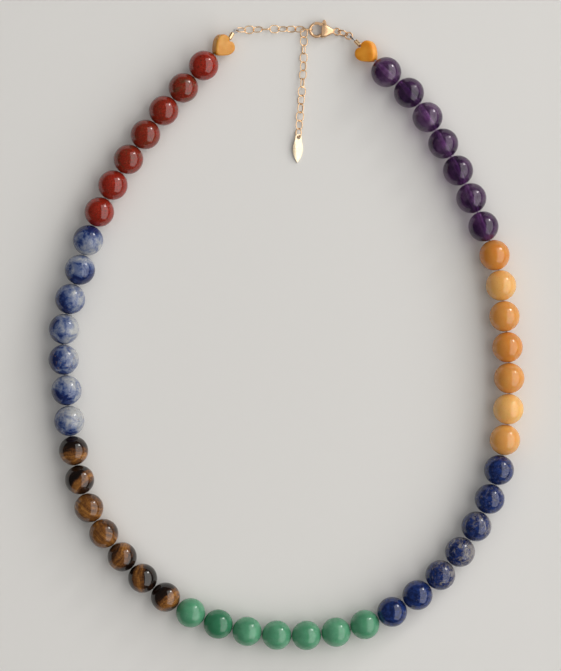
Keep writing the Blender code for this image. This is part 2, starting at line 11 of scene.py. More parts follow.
import bmesh
import bpy
import numpy as np
from mathutils import Matrix, Vector

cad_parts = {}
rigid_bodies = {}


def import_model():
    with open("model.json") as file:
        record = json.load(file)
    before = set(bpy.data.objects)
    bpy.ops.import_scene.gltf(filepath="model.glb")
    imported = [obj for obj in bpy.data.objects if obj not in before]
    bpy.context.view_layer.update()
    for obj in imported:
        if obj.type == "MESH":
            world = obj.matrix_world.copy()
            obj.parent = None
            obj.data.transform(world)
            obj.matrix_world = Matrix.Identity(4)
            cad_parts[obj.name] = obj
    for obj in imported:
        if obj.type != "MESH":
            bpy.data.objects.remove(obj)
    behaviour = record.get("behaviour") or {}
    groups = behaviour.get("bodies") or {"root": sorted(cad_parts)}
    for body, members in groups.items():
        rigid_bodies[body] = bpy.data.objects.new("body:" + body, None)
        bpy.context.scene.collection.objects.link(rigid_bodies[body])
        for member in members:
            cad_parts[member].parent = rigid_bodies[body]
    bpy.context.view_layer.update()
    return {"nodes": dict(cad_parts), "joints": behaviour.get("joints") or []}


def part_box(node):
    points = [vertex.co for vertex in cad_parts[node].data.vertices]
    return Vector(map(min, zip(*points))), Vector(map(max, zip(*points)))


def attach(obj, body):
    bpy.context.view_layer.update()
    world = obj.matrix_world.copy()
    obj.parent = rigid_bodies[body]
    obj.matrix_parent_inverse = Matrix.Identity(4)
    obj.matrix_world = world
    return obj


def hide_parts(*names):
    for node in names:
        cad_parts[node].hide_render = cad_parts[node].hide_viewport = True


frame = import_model()
BODY = "necklace"
MM = 0.001
UP = (0, 0, 1)

# %% [markdown]
# ## Camera
# The photograph looks straight down. A long lens far above keeps all the beads round. The frame's height
# in real millimetres, measured across the middle of the beads, sets the lens.

# %% Camera
VIEW_HEIGHT = 178.72 * MM
VIEW_CENTRE = (-1.61 * MM, -0.31 * MM)
VIEW_LEVEL = 4.0 * MM
CAMERA_DISTANCE = 0.75
SENSOR = 36.0

camera_data = bpy.data.cameras.new("camera")
camera_data.sensor_fit = "VERTICAL"
camera_data.sensor_height = SENSOR
camera_data.lens = SENSOR * CAMERA_DISTANCE / VIEW_HEIGHT
camera_data.clip_start = 0.01
camera = bpy.data.objects.new("camera", camera_data)
camera.location = (*VIEW_CENTRE, VIEW_LEVEL + CAMERA_DISTANCE)
bpy.context.scene.collection.objects.link(camera)
bpy.context.scene.camera = camera
print("lens:", round(camera_data.lens, 1), "mm")

# %% [markdown]
# ## Light
# A wide soft window stands on the right, from just above the table to high up, and shows as a paler patch
# on the right half of every polished bead. A small low light beyond the upper right corner makes the
# sharp spark on each bead. The room is dim, so that the left halves of the beads stay deep in colour. The
# light that pale walls send back fills the shadows, but it is too even to show in the polish, so its panel
# is hidden from reflections. Distances and panel sizes are in metres, angles in degrees.

# %% Lights and room
bpy.context.scene.view_settings.view_transform = "Standard"
bpy.context.scene.view_settings.look = "None"

ROOM_LIGHT = 0.06
WINDOW_LIGHT = 1.88
SPARK_LIGHT = 15.0
FILL_LIGHT = 0.55
ROOM_COLOUR = (1.0, 0.985, 0.965)


def direction(azimuth, elevation):
    """A unit vector towards a place around the necklace: azimuth from +X towards +Y, both in degrees."""
    a, e = math.radians(azimuth), math.radians(elevation)
    return Vector((math.cos(e) * math.cos(a), math.cos(e) * math.sin(a), math.sin(e)))


def panel_light(name, azimuth, elevation, distance, size, radiance, colour, mirrored=True):
    """A flat panel that faces the necklace and shines with one even brightness."""
    panel = bpy.data.lights.new(name, "AREA")
    panel.shape = "RECTANGLE"
    panel.size, panel.size_y = size
    panel.energy = radiance * math.pi * size[0] * size[1]
    panel.color = colour
    lamp = bpy.data.objects.new(name, panel)
    lamp.location = direction(azimuth, elevation) * distance
    lamp.rotation_euler = (-lamp.location).to_track_quat("-Z", "Y").to_euler()
    lamp.visible_glossy = lamp.visible_transmission = mirrored
    bpy.context.scene.collection.objects.link(lamp)
    return lamp


panel_light("window", azimuth=0, elevation=42, distance=1.6, size=(4.5, 1.75),
            radiance=WINDOW_LIGHT, colour=(1.0, 0.985, 0.96))
panel_light("spark", azimuth=46, elevation=22, distance=1.6, size=(0.24, 0.3),
            radiance=SPARK_LIGHT, colour=(1.0, 0.98, 0.95))
panel_light("fill", azimuth=150, elevation=75, distance=2.4, size=(3.6, 3.6),
            radiance=FILL_LIGHT, colour=(1.0, 0.985, 0.97), mirrored=False)

world = bpy.data.worlds.new("room")
bpy.context.scene.world = world
world.use_nodes = True
background = world.node_tree.nodes["Background"]
background.inputs["Color"].default_value = (*ROOM_COLOUR, 1)
background.inputs["Strength"].default_value = ROOM_LIGHT

# %% [markdown]
# ## Writing node networks
# A material, and a geometry group too, is a small network of nodes. Here the arithmetic in it is written as
# ordinary expressions: a Socket wraps one output, and adding or multiplying sockets adds the Math nodes.
# One method makes every other kind of node: its settings first, then its sockets.

# %% Sockets and networks


class Socket:
    """One output of a node. Python's operators add Math nodes behind it."""

    def __init__(self, network, output):
        self.network, self.output = network, output

    def __add__(self, other):
        return self.network.maths("ADD", self, other)

    def __sub__(self, other):
        return self.network.maths("SUBTRACT", self, other)

    def __rsub__(self, other):
        return self.network.maths("SUBTRACT", other, self)

    def __mul__(self, other):
        return self.network.maths("MULTIPLY", self, other)

    def __truediv__(self, other):
        return self.network.maths("DIVIDE", self, other)

    def __rtruediv__(self, other):
        return self.network.maths("DIVIDE", other, self)

    __radd__, __rmul__ = __add__, __mul__


class Network:
    """A node tree under construction."""

    def __init__(self, tree):
        self.nodes, self.links = tree.nodes, tree.links

    def node(self, kind, output=0, settings=None, stops=(), **sockets):
        """Adds a node. A socket is named by its label in lower case, or by an underscore and its number."""
        made = self.nodes.new(kind)
        for name, value in (settings or {}).items():
            setattr(made, name, value)
        for k, (place, colour) in enumerate(stops):
            marks = made.color_ramp.elements
            mark = marks[k] if k < len(marks) else marks.new(1.0)
            mark.position = place
            mark.color = (*colour, 1)
        for name, value in sockets.items():
            key = int(name[1:]) if name[1:].isdigit() else name.replace("_", " ").title()
            self.fill(made.inputs[key], value)
        return Socket(self, made.outputs[output])

    def fill(self, target, value):
        if isinstance(value, Socket):
            self.links.new(value.output, target)
        elif target.type == "RGBA" and len(value) == 3:
            target.default_value = (*value, 1)
        else:
            target.default_value = value

    def maths(self, operation, a, b=0.0):
        return self.node("ShaderNodeMath", settings={"operation": operation}, _0=a, _1=b)

    def vector(self, operation, a, b=(0, 0, 0), output=0):
        return self.node("ShaderNodeVectorMath", output, {"operation": operation}, _0=a, _1=b)

    def scaled(self, a, factor):
        return self.node("ShaderNodeVectorMath", settings={"operation": "SCALE"}, _0=a, _3=factor)

    def dot(self, a, b):
        return self.vector("DOT_PRODUCT", a, b, output=1)

    def join(self, x, y, z):
        return self.node("ShaderNodeCombineXYZ", x=x, y=y, z=z)

    def part(self, vector, axis):
        """One of a vector's three numbers."""
        return self.node("ShaderNodeSeparateXYZ", axis, _0=vector)

    def step(self, value, low, high):
        """0 below low, 1 above high and smooth between."""
        settings = {"interpolation_type": "SMOOTHSTEP"}
        return self.node("ShaderNodeMapRange", settings=settings, _0=value, _1=low, _2=high)


class Paint(Network):
    """A material. The fixed values are the same all over the surface and sit on the shader itself."""

    def __init__(self, name, fixed):
        self.material = bpy.data.materials.new(name)
        self.material.use_nodes = True
        super().__init__(self.material.node_tree)
        self.shader = self.nodes["Principled BSDF"]
        for socket, value in fixed.items():
            self.shader.inputs[socket].default_value = value

    def blend(self, factor, one, two):
        settings = {"data_type": "RGBA"}
        return self.node("ShaderNodeMix", 2, settings, _0=factor, _6=one, _7=two)

    def noise(self, place, scale, detail=2.0, roughness=0.5, distortion=0.0):
        return self.node("ShaderNodeTexNoise", vector=place, scale=scale, detail=detail,
                         roughness=roughness, distortion=distortion)

    def attribute(self, name):
        return self.node("ShaderNodeAttribute", 1, {"attribute_name": name})

    def number(self, name):
        return self.node("ShaderNodeAttribute", 2, {"attribute_name": name})

    def ramp(self, value, *stops):
        """Colours along a value: pairs of place and colour."""
        return self.node("ShaderNodeValToRGB", stops=stops, _0=value)

    def bump(self, height, distance, strength=1.0):
        bumped = self.node("ShaderNodeBump", strength=strength, distance=distance, height=height)
        self.fill(self.shader.inputs["Normal"], bumped)

    def finish(self, colour, roughness=None):
        self.fill(self.shader.inputs["Base Color"], colour)
        if roughness is not None:
            self.fill(self.shader.inputs["Roughness"], roughness)
        return self.material


print("network helpers ready")

# %% [markdown]
# ## Floor
# A plain pale table top carries the necklace. It is not part of the object.

# %% Floor
FLOOR_SIZE = 6.0
FLOOR_COLOUR = (0.745, 0.735, 0.715)


def add_object(name, mesh, material=None):
    made = bpy.data.objects.new(name, mesh)
    bpy.context.scene.collection.objects.link(made)
    if material:
        mesh.materials.clear()
        mesh.materials.append(material)
    return made


def lay_floor():
    half = FLOOR_SIZE / 2
    mesh = bpy.data.meshes.new("floor")
    rim = [(-half, -half, 0), (half, -half, 0), (half, half, 0), (-half, half, 0)]
    mesh.from_pydata(rim, [], [(0, 1, 2, 3)])
    floor = add_object("floor", mesh, Paint("floor", {"Roughness": 0.9}).finish(FLOOR_COLOUR))


lay_floor()
print("floor laid")

# %% [markdown]
# ## Measuring the frame
# Nothing here is placed by eye: each fine piece is fitted to the plain solid that it replaces. A solid's
# box gives a ball's middle and size. How far its corners reach along a direction gives its other measures.

# %% Measuring helpers


def corners(node):
    """The corners of a plain solid, one row each."""
    mesh = frame["nodes"][node].data
    rows = np.empty(len(mesh.vertices) * 3)
    mesh.vertices.foreach_get("co", rows)
    return rows.reshape(-1, 3)


def extent(rows, way):
    """The lowest and highest reach of some points along a direction."""
    reach = rows @ np.array(way)
    return reach.min(), reach.max()


def axes_of(along, up):
    """A turn whose X runs along one direction and whose Z is as near to another as it can be."""
    x = Vector(along).normalized()
    y = Vector(up).cross(x).normalized()
    return Matrix((x, y, x.cross(y))).transposed()


def middle_of(node):
    low, high = (Vector(corner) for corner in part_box(node))
    return (low + high) / 2


def fix(piece, node_names, body=BODY):
    """Ties a finished piece to its body and hides the plain solids that it stands for."""
    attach(piece, body)
    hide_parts(*node_names)
    triangles = sum(len(face.vertices) - 2 for face in piece.data.polygons)
    print(piece.name, "triangles:", triangles)


# %% [markdown]
# ## The string
# The beads lie on one string, stone after stone. The line between a bead's two neighbours tells which way
# its hole points.

# %% The string of beads
STONES = ("red_jasper", "sodalite", "tigers_eye", "green_aventurine", "lapis_lazuli", "yellow_jade",
          "amethyst")


def beads_of(stone):
    return sorted(name for name in frame["nodes"] if name.startswith(stone + "_"))


STRING = [name for stone in STONES for name in beads_of(stone)]
CENTRES = {name: middle_of(name) for name in STRING}
RADII = {name: (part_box(name)[1][2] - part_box(name)[0][2]) / 2 for name in STRING}


def string_way(name):
    """The direction of the string through a bead, from its neighbours."""
    k = STRING.index(name)
    before, after = STRING[max(k - 1, 0)], STRING[min(k + 1, len(STRING) - 1)]
    return (CENTRES[after] - CENTRES[before]).normalized()


print("beads:", len(STRING), "radii in mm:", sorted({round(r / MM, 2) for r in RADII.values()}))

# %% [markdown]
# ## Geometry groups
# Beads, links and rings repeat, so Geometry Nodes make them. A group takes plain points that carry
# attributes, such as which way each copy is turned, and its named inputs are the real sizes. Its result is
# turned into an ordinary mesh at once.

# %% Geometry helper


class Group(Network):
    """A geometry node group with named inputs."""

    def __init__(self, name, **sizes):
        self.group = bpy.data.node_groups.new(name, "GeometryNodeTree")
        super().__init__(self.group)
        face = self.group.interface
        face.new_socket("Points", in_out="INPUT", socket_type="NodeSocketGeometry")
        face.new_socket("Result", in_out="OUTPUT", socket_type="NodeSocketGeometry")
        socket = face.new_socket("material", in_out="INPUT", socket_type="NodeSocketMaterial")
        self.keys = {"material": socket.identifier}
        for key, value in sizes.items():
            socket = face.new_socket(key, in_out="INPUT", socket_type="NodeSocketFloat")
            socket.default_value = value
            self.keys[key] = socket.identifier
        self.inlet = self.nodes.new("NodeGroupInput")
        self.outlet = self.nodes.new("NodeGroupOutput")

    def input(self, name):
        return Socket(self, self.inlet.outputs[name])

    def read(self, name, kind):
        return self.node("GeometryNodeInputNamedAttribute", settings={"data_type": kind}, name=name)

    def store(self, geometry, name, kind, value, domain="POINT"):
        settings = {"data_type": kind, "domain": domain}
        return self.node("GeometryNodeStoreNamedAttribute", settings=settings,
                         geometry=geometry, name=name, value=value)

    def crease(self, geometry, angle):
        """Shades as sharp the edges that are bent by more than an angle."""
        bend = self.node("GeometryNodeInputMeshEdgeAngle")
        settings = {"data_type": "FLOAT"}
        sharp = self.node("FunctionNodeCompare", settings=settings, _0=bend, _1=math.radians(angle))
        return self.store(geometry, "sharp_edge", "BOOLEAN", sharp, "EDGE")

    def copies(self, shape):
        """One copy of a shape on each point, turned by the point's own turn, as real geometry."""
        turn = self.node("FunctionNodeEulerToRotation", euler=self.read("turn", "FLOAT_VECTOR"))
        instances = self.node("GeometryNodeInstanceOnPoints", points=self.input("Points"), instance=shape,
                              rotation=turn)
        return self.node("GeometryNodeRealizeInstances", geometry=instances)

    def end(self, geometry):
        smooth = self.node("GeometryNodeSetShadeSmooth", geometry=geometry, shade_smooth=True)
        real = self.node("GeometryNodeRealizeInstances", geometry=smooth)
        painted = self.node("GeometryNodeSetMaterial", geometry=real, material=self.input("material"))
        self.fill(self.outlet.inputs[0], painted)

    def run(self, name, points, attributes, material, edges=(), **sizes):
        """Feeds points into the group and returns the result as a plain mesh object."""
        cloud = bpy.data.meshes.new(name + "_points")
        cloud.from_pydata([tuple(point) for point in points], edges, [])
        for key, rows in attributes.items():
            rows = np.array(rows, dtype=np.float32)
            kind, field = ("FLOAT_VECTOR", "vector") if rows.ndim == 2 else ("FLOAT", "value")
            cloud.attributes.new(key, kind, "POINT").data.foreach_set(field, rows.ravel())
        maker = add_object(name + "_maker", cloud)
        modifier = maker.modifiers.new("make", "NODES")
        modifier.node_group = self.group
        modifier[self.keys["material"]] = material
        for key, value in sizes.items():
            modifier[self.keys[key]] = value
        made = bpy.data.meshes.new_from_object(maker.evaluated_get(bpy.context.evaluated_depsgraph_get()))
        bpy.data.objects.remove(maker)
        made.name = name
        return add_object(name, made)


# %% [markdown]
# ## Drilled balls
# A bead is a ball with a hole through it. Its half section, an arc closed by the hole's wall, is swept
# round the hole, and every point of it is told where it lies within its own bead.

# %% The drilled ball
BEAD_BORE = 1.0 * MM
BEAD_SIDES = 56
BEAD_ARC = 29
BEAD_CREASE = 40


def drilled_ball_group():
    group = Group("drilled_balls", radius=4 * MM, bore=BEAD_BORE)
    radius, bore = group.input("radius"), group.input("bore")
    rim = group.maths("ARCSINE", bore / 2 / radius)
    arc = group.node("GeometryNodeCurveArc", radius=radius, start_angle=rim - math.pi / 2,
                     sweep_angle=math.pi - 2 * rim, resolution=BEAD_ARC)
    section = group.node("GeometryNodeSetSplineCyclic", geometry=arc, cyclic=True)
    moved = group.node("GeometryNodeTransform", geometry=section, translation=group.join(0 - bore / 2, 0, 0))
    hole = group.node("GeometryNodeCurvePrimitiveCircle", radius=bore / 2, resolution=BEAD_SIDES)
    ball = group.node("GeometryNodeCurveToMesh", curve=hole, profile_curve=moved)
    lying = group.node("GeometryNodeTransform", geometry=ball, rotation=(0, math.pi / 2, 0))
    real = group.copies(lying)
    middle = group.read("bead_middle", "FLOAT_VECTOR")
    away = group.vector("SUBTRACT", group.node("GeometryNodeInputPosition"), middle)
    marked = group.store(real, "bead_place", "FLOAT_VECTOR", group.scaled(away, 1 / radius))
    group.end(group.crease(marked, BEAD_CREASE))
    return group


BALLS = drilled_ball_group()


def string_beads(stone, material, marks):
    """All the beads of one stone, with the marks that tell its material how each bead differs."""
    names = beads_of(stone)
    lines = [string_way(name) for name in names]
    places = [tuple(CENTRES[name]) for name in names]
    attributes = {"turn": [tuple(axes_of(line, UP).to_euler()) for line in lines],
                  "bead_middle": places, "string_way": [tuple(line) for line in lines], **marks}
    piece = BALLS.run(stone + "_beads", places, attributes, material, radius=RADII[names[0]])
    fix(piece, names)


print("ball group ready")

# %% [markdown]
# ## Polished stone
# All the round stones are ground and tumbled to the same gloss, so their shaders share it. What differs is
# the colour, which is painted in three dimensions through each ball, as in real stone. Every bead gets its
# own seed, a shift that takes it to another place in the pattern.

# %% Polished stone
POLISH = {"Roughness": 0.1, "IOR": 1.56}


def bead_seeds(stone, start):
    """A different shift of the pattern for each bead."""
    count = len(beads_of(stone))
    return [(start + 3.1 * k, start * 1.7 - 2.3 * k, start * 0.6 + 1.9 * k) for k in range(count)]


def own_place(paint):
    """A bead's own coordinates, from -1 to 1, shifted by its seed."""
    return paint.vector("ADD", paint.attribute("bead_place"), paint.attribute("bead_seed"))


# %% [markdown]
# ## Red jasper
# Jasper is opaque brick red with darker and paler grains, and some beads lean to brown.

# %% Red jasper


def paint_red_jasper():
    paint = Paint("red_jasper", POLISH)
    place = own_place(paint)
    cloud = paint.step(paint.noise(place, 1.3, 4.0, 0.6), 0.35, 0.7)
    red = paint.blend(cloud, (0.245, 0.012, 0.005), (0.34, 0.020, 0.010))
    brown = paint.blend(paint.number("tone"), red, (0.185, 0.016, 0.006))
    patch = paint.step(paint.noise(place, 1.7, 4.0, 0.7), 0.50, 0.62) * paint.number("patch")
    patched = paint.blend(patch, brown, (0.105, 0.050, 0.022))
    grain = paint.step(paint.noise(place, 10.0, 3.0, 0.6), 0.50, 0.62) * 0.75
    grained = paint.blend(grain, patched, (0.085, 0.016, 0.007))
    fleck = paint.step(paint.noise(place, 14.0, 2.0), 0.54, 0.64) * 0.45
    return paint.finish(paint.blend(fleck, grained, (0.38, 0.060, 0.034)))


JASPER_BROWN = (0.0, 0.7, 0.5, 0.8, 0.6, 0.1, 0.2)
JASPER_PATCHES = (0.0, 0.8, 0.2, 0.4, 0.7, 0.1, 0.1)
string_beads("red_jasper", paint_red_jasper(),
             {"tone": JASPER_BROWN, "patch": JASPER_PATCHES, "bead_seed": bead_seeds("red_jasper", 2.0)})

# %% [markdown]
# ## Sodalite
# Sodalite mixes deep blue clouds with grey-white feldspar. How much white shows differs from bead to bead,
# and thin rusty veins cross a few of them.

# %% Sodalite


def paint_sodalite():
    paint = Paint("sodalite", POLISH)
    place = own_place(paint)
    cloud = paint.noise(place, 1.5, 5.0, 0.62, 0.7)
    fine = paint.noise(place, 6.5, 4.0, 0.65)
    side = paint.dot(paint.attribute("bead_place"), paint.attribute("pale_way"))
    white = cloud * 0.80 + fine * 0.20 + (paint.number("tone") - 0.5) * 0.18 + side * 0.17
    blue = paint.ramp(white, (0.38, (0.007, 0.016, 0.085)), (0.45, (0.022, 0.045, 0.165)),
                      (0.50, (0.085, 0.12, 0.24)), (0.57, (0.17, 0.20, 0.30)), (0.72, (0.42, 0.43, 0.43)))
    vein = paint.maths("ABSOLUTE", paint.noise(place, 1.9, 3.0, 0.5) - 0.5)
    rust = (1 - paint.step(vein, 0.006, 0.028)) * paint.step(fine, 0.48, 0.6) * paint.number("rust")
    return paint.finish(paint.blend(rust, blue, (0.20, 0.13, 0.10)))


def bead_ways(*angles, rise=0.0):
    """A direction for each bead, from its angle seen from above in degrees and its rise."""
    return [(math.cos(math.radians(a)), math.sin(math.radians(a)), rise) for a in angles]


SODALITE_WHITE = (0.50, 0.40, 0.38, 0.80, 0.50, 0.60, 0.88)
SODALITE_RUST = (0.15, 0.1, 0.25, 0.1, 0.8, 0.1, 0.55)
string_beads("sodalite", paint_sodalite(),
             {"tone": SODALITE_WHITE, "rust": SODALITE_RUST,
              "pale_way": bead_ways(-60, 100, 40, 0, 20, 50, 45), "bead_seed": bead_seeds("sodalite", 5.2)})

# %% [markdown]
# ## Tiger's eye
# Tiger's eye is made of silky fibres. Gold and near-black layers cross each bead in its own direction, and
# the fibres stand across the layers, so the gold looks brushed.

# %% Tiger's eye


def paint_tigers_eye():
    paint = Paint("tigers_eye", POLISH)
    place = paint.attribute("bead_place")
    seed = paint.attribute("bead_seed")
    way = paint.attribute("band_way")
    warp = paint.noise(paint.vector("ADD", place, seed), 1.1, 3.0, 0.5) - 0.5
    level = paint.dot(place, way) + warp * 0.55
    across = paint.dot(place, paint.vector("CROSS_PRODUCT", way, (0.0, 0.0, 1.0)))
    depth = paint.dot(place, (0.0, 0.0, 1.0))
    brushed = paint.join(level * 2.0, across * 7.0, depth * 7.0)
    layered = paint.join(level * 3.4, across * 0.5, depth * 0.5)
    fibre = paint.noise(paint.vector("ADD", brushed, seed), 1.8, 4.0, 0.65)
    layer = paint.noise(paint.vector("ADD", layered, seed), 1.7, 4.0, 0.6)
    off_band = paint.maths("ABSOLUTE", level - paint.number("band_middle"))
    core = 1 - paint.step(off_band, 0.08, paint.number("band_width"))
    gold = core * 0.58 + (layer - 0.5) * 1.1 + (fibre - 0.5) * 0.65 + 0.1
    return paint.finish(paint.ramp(
        gold, (0.05, (0.006, 0.003, 0.002)), (0.28, (0.024, 0.010, 0.005)), (0.48, (0.095, 0.036, 0.011)),
        (0.68, (0.20, 0.078, 0.018)), (0.95, (0.44, 0.20, 0.046))))


EYE_BANDS = {
    "band_way": bead_ways(-80, -40, 60, 40, 150, 0, -50, rise=0.25),
    "band_middle": (0.60, 0.42, 0.1, 0.1, 0.30, -0.05, 0.55),
    "band_width": (0.85, 0.50, 2.0, 1.7, 0.85, 0.55, 0.80),
}
string_beads("tigers_eye", paint_tigers_eye(), {**EYE_BANDS, "bead_seed": bead_seeds("tigers_eye", 8.4)})

# %% [markdown]
# ## Green aventurine
# Aventurine is slightly translucent: light enters, scatters and comes out again, which softens its shadows.
# Faint pale veils drift through it, and one bead is a darker green.

# %% Green aventurine
MILKY = {"Subsurface Weight": 0.6, "Subsurface Scale": 2.6 * MM}


def paint_green_aventurine():
    paint = Paint("green_aventurine", {**POLISH, **MILKY, "Subsurface Radius": (0.5, 1.0, 0.7)})
    place = own_place(paint)
    veil = paint.step(paint.noise(place, 1.2, 4.0, 0.6), 0.38, 0.68)
    green = paint.blend(veil, (0.092, 0.300, 0.172), (0.126, 0.365, 0.216))
    deep = paint.blend(paint.number("tone"), green, (0.024, 0.165, 0.078))
    speck = paint.step(paint.noise(place, 13.0, 2.0), 0.60, 0.70) * 0.30
    return paint.finish(paint.blend(speck, deep, (0.045, 0.22, 0.10)))


AVENTURINE_DEPTH = (0.15, 0.8, 0.15, 0.1, 0.1, 0.0, 0.2)
string_beads("green_aventurine", paint_green_aventurine(),
             {"tone": AVENTURINE_DEPTH, "bead_seed": bead_seeds("green_aventurine", 1.3)})

# %% [markdown]
# ## Lapis lazuli
# Lapis is deep blue. Some beads are nearly plain, and others are clouded with grey calcite and dusted with
# golden pyrite.

# %% Lapis lazuli


def paint_lapis_lazuli():
    paint = Paint("lapis_lazuli", POLISH)
    place = own_place(paint)
    amount = paint.number("tone")
    side = paint.dot(paint.attribute("bead_place"), paint.attribute("pale_way"))
    cloud = paint.noise(place, 2.6, 6.0, 0.72, 0.4) + side * 0.10
    mottle = paint.step(paint.noise(place, 4.0, 4.0, 0.65), 0.35, 0.65)
    blue = paint.blend(mottle, (0.005, 0.012, 0.060), (0.014, 0.036, 0.165))
    calcite = paint.step(cloud + amount * 0.12, 0.60, 0.70) * (amount * 0.9 + 0.05)
    grey = paint.blend(calcite, blue, (0.27, 0.25, 0.23))
    grains = paint.noise(place, 8.0, 4.0, 0.7) + amount * 0.08 + side * 0.03
    dust = paint.step(grains, 0.60, 0.68) * (amount * 0.6 + 0.2)
    return paint.finish(paint.blend(dust, grey, (0.14, 0.105, 0.070)))


LAPIS_CLOUDS = (0.05, 0.15, 0.70, 0.80, 0.6, 0.45, 0.35)
string_beads("lapis_lazuli", paint_lapis_lazuli(),
             {"tone": LAPIS_CLOUDS, "pale_way": bead_ways(0, 0, 40, 20, 40, 80, 10),
              "bead_seed": bead_seeds("lapis_lazuli", 6.6)})

# %% [markdown]
# ## Yellow jade
# A milky honey-coloured stone. The beads run from pale to deep orange, and light passes well into them.

# %% Yellow jade


def paint_yellow_jade():
    fixed = {"Subsurface Weight": 0.6, "Subsurface Scale": 2.2 * MM, "Subsurface Radius": (1.0, 0.55, 0.25)}
    paint = Paint("yellow_jade", {**POLISH, **fixed})
    place = own_place(paint)
    honey = paint.blend(paint.number("tone"), (0.59, 0.205, 0.026), (0.83, 0.49, 0.165))
    cloud = paint.step(paint.noise(place, 1.1, 4.0, 0.55), 0.35, 0.7) * 0.30
    clouded = paint.blend(cloud, honey, (0.74, 0.38, 0.095))
    grain = paint.step(paint.noise(place, 12.0, 2.0), 0.58, 0.70) * 0.25
    return paint.finish(paint.blend(grain, clouded, (0.48, 0.155, 0.024)))


JADE_PALE = (0.5, 0.95, 0.3, 0.15, 0.3, 0.8, 0.1)
string_beads("yellow_jade", paint_yellow_jade(),
             {"tone": JADE_PALE, "bead_seed": bead_seeds("yellow_jade", 4.1)})

# %% [markdown]
# ## Amethyst
# Amethyst is clear. Light goes through the purple quartz, bends, and shows the drilled hole inside. The
# drill leaves the hole's wall frosted, so it appears as one pale streak along the string.

# %% Amethyst


def paint_amethyst():
    fixed = {"IOR": 1.545, "Transmission Weight": 0.8}
    paint = Paint("amethyst", fixed)
    place = own_place(paint)
    zone = paint.step(paint.noise(place, 0.9, 4.0, 0.6, 0.5), 0.35, 0.7)
    purple = paint.blend(zone, (0.050, 0.012, 0.085), (0.27, 0.095, 0.33))
    veil = paint.step(paint.noise(place, 1.6, 5.0, 0.65), 0.40, 0.62) * paint.number("tone")
    cloudy = paint.blend(veil, purple, (0.50, 0.30, 0.55))
    off_axis = paint.vector("CROSS_PRODUCT", paint.attribute("bead_place"), paint.attribute("string_way"))
    wall = 1 - paint.step(paint.vector("LENGTH", off_axis, output=1), 0.19, 0.25)
    return paint.finish(paint.blend(wall, cloudy, (0.85, 0.62, 0.90)), wall * 0.75 + 0.04)


AMETHYST_PALE = (0.2, 0.5, 0.2, 0.5, 0.9, 0.15, 0.5)
string_beads("amethyst", paint_amethyst(), {"tone": AMETHYST_PALE, "bead_seed": bead_seeds("amethyst", 9.7)})

# %% [markdown]
# ## Shapes from outlines
# The hearts, the clasp and the tag are not balls or rings, so their meshes are made directly. One helper
# draws a smooth curve through a few chosen points, another stretches a skin over a row of outlines, and a
# third applies modifiers, such as a Boolean cut, and moves the result to its place.

# %% Shape helpers


def smooth(points, steps, closed=False):
    """A finer line on a smooth curve through some points, timed by their spacing."""
    knots = [Vector(point) for point in points]
    if closed:
        knots = [knots[-1], *knots, knots[0], knots[1]]
    else:
        knots = [2 * knots[0] - knots[1], *knots, 2 * knots[-1] - knots[-2]]
    line = []
    for a, b, c, d in zip(knots, knots[1:], knots[2:], knots[3:]):
        before, here, after = (b - a).length, (c - b).length, (d - c).length
        leave = here * ((b - a) / before - (c - a) / (before + here)) + (c - b)
        arrive = here * ((d - c) / after - (d - b) / (here + after)) + (c - b)
        for t in np.arange(steps) / steps:
            line.append(b * (2 * t**3 - 3 * t**2 + 1) + leave * (t**3 - 2 * t**2 + t)
                        + c * (3 * t**2 - 2 * t**3) + arrive * (t**3 - t**2))
    return line if closed else [*line, knots[-2]]


def turns(start, end, count):
    return np.radians(np.linspace(start, end, count))


def full_turn(count):
    """Even angles round a whole circle."""
    return np.arange(count) * math.tau / count


def skin(name, rings, ring_of_rings=False, capped=True):
    """One closed surface through rings of points."""
    shape = bmesh.new()
    rows = [[shape.verts.new(point) for point in ring] for ring in rings]
    pairs = list(zip(rows, rows[1:]))
    if ring_of_rings:
        pairs.append((rows[-1], rows[0]))
    elif capped:
        shape.faces.new(rows[0])
        shape.faces.new(rows[-1])
    for one, two in pairs:
        for k in range(len(one)):
            shape.faces.new((one[k - 1], one[k], two[k], two[k - 1]))
    bmesh.ops.remove_doubles(shape, verts=shape.verts, dist=1e-7)
    bmesh.ops.recalc_face_normals(shape, faces=shape.faces)
    mesh = bpy.data.meshes.new(name)
    shape.to_mesh(mesh)
    shape.free()
    return mesh


def turned(name, profile, sides):
    """A closed profile of (along, radius) points, turned round X."""
    rings = []
    for angle in full_turn(sides):
        rings.append([(x, r * math.cos(angle), r * math.sin(angle)) for x, r in profile])
    return skin(name, rings, ring_of_rings=True)


def rod(name, radius, length, sides=32):
    """A solid rod along X."""
    circle = [(radius * math.cos(a), radius * math.sin(a)) for a in full_turn(sides)]
    return skin(name, [[(x, y, z) for y, z in circle] for x in (-length / 2, length / 2)])


def plate(name, outline, thickness):
    return skin(name, [[(p[0], p[1], z) for p in outline] for z in (-thickness / 2, thickness / 2)])


def tube(name, points, radius, sides):
    """Round wire along a line of points."""
    up = Vector((0, 0, 1))
    rings = []
    for k, point in enumerate(points):
        along = (points[min(k + 1, len(points) - 1)] - points[max(k - 1, 0)]).normalized()
        up = (up - along * up.dot(along)).normalized()
        across = along.cross(up)
        rings.append([point + (up * math.cos(a) + across * math.sin(a)) * radius
                      for a in full_turn(sides)])
    return skin(name, rings)


def cut(thing, operation, mesh, turn=Matrix.Identity(4)):
    """Adds a Boolean with a hidden helper object, which is removed once the shape is baked."""
    mesh.transform(turn)
    other = add_object("cutter_" + mesh.name, mesh)
    other.hide_render = True
    boolean = thing.modifiers.new("cut", "BOOLEAN")
    boolean.operation, boolean.object, boolean.solver = operation, other, "EXACT"


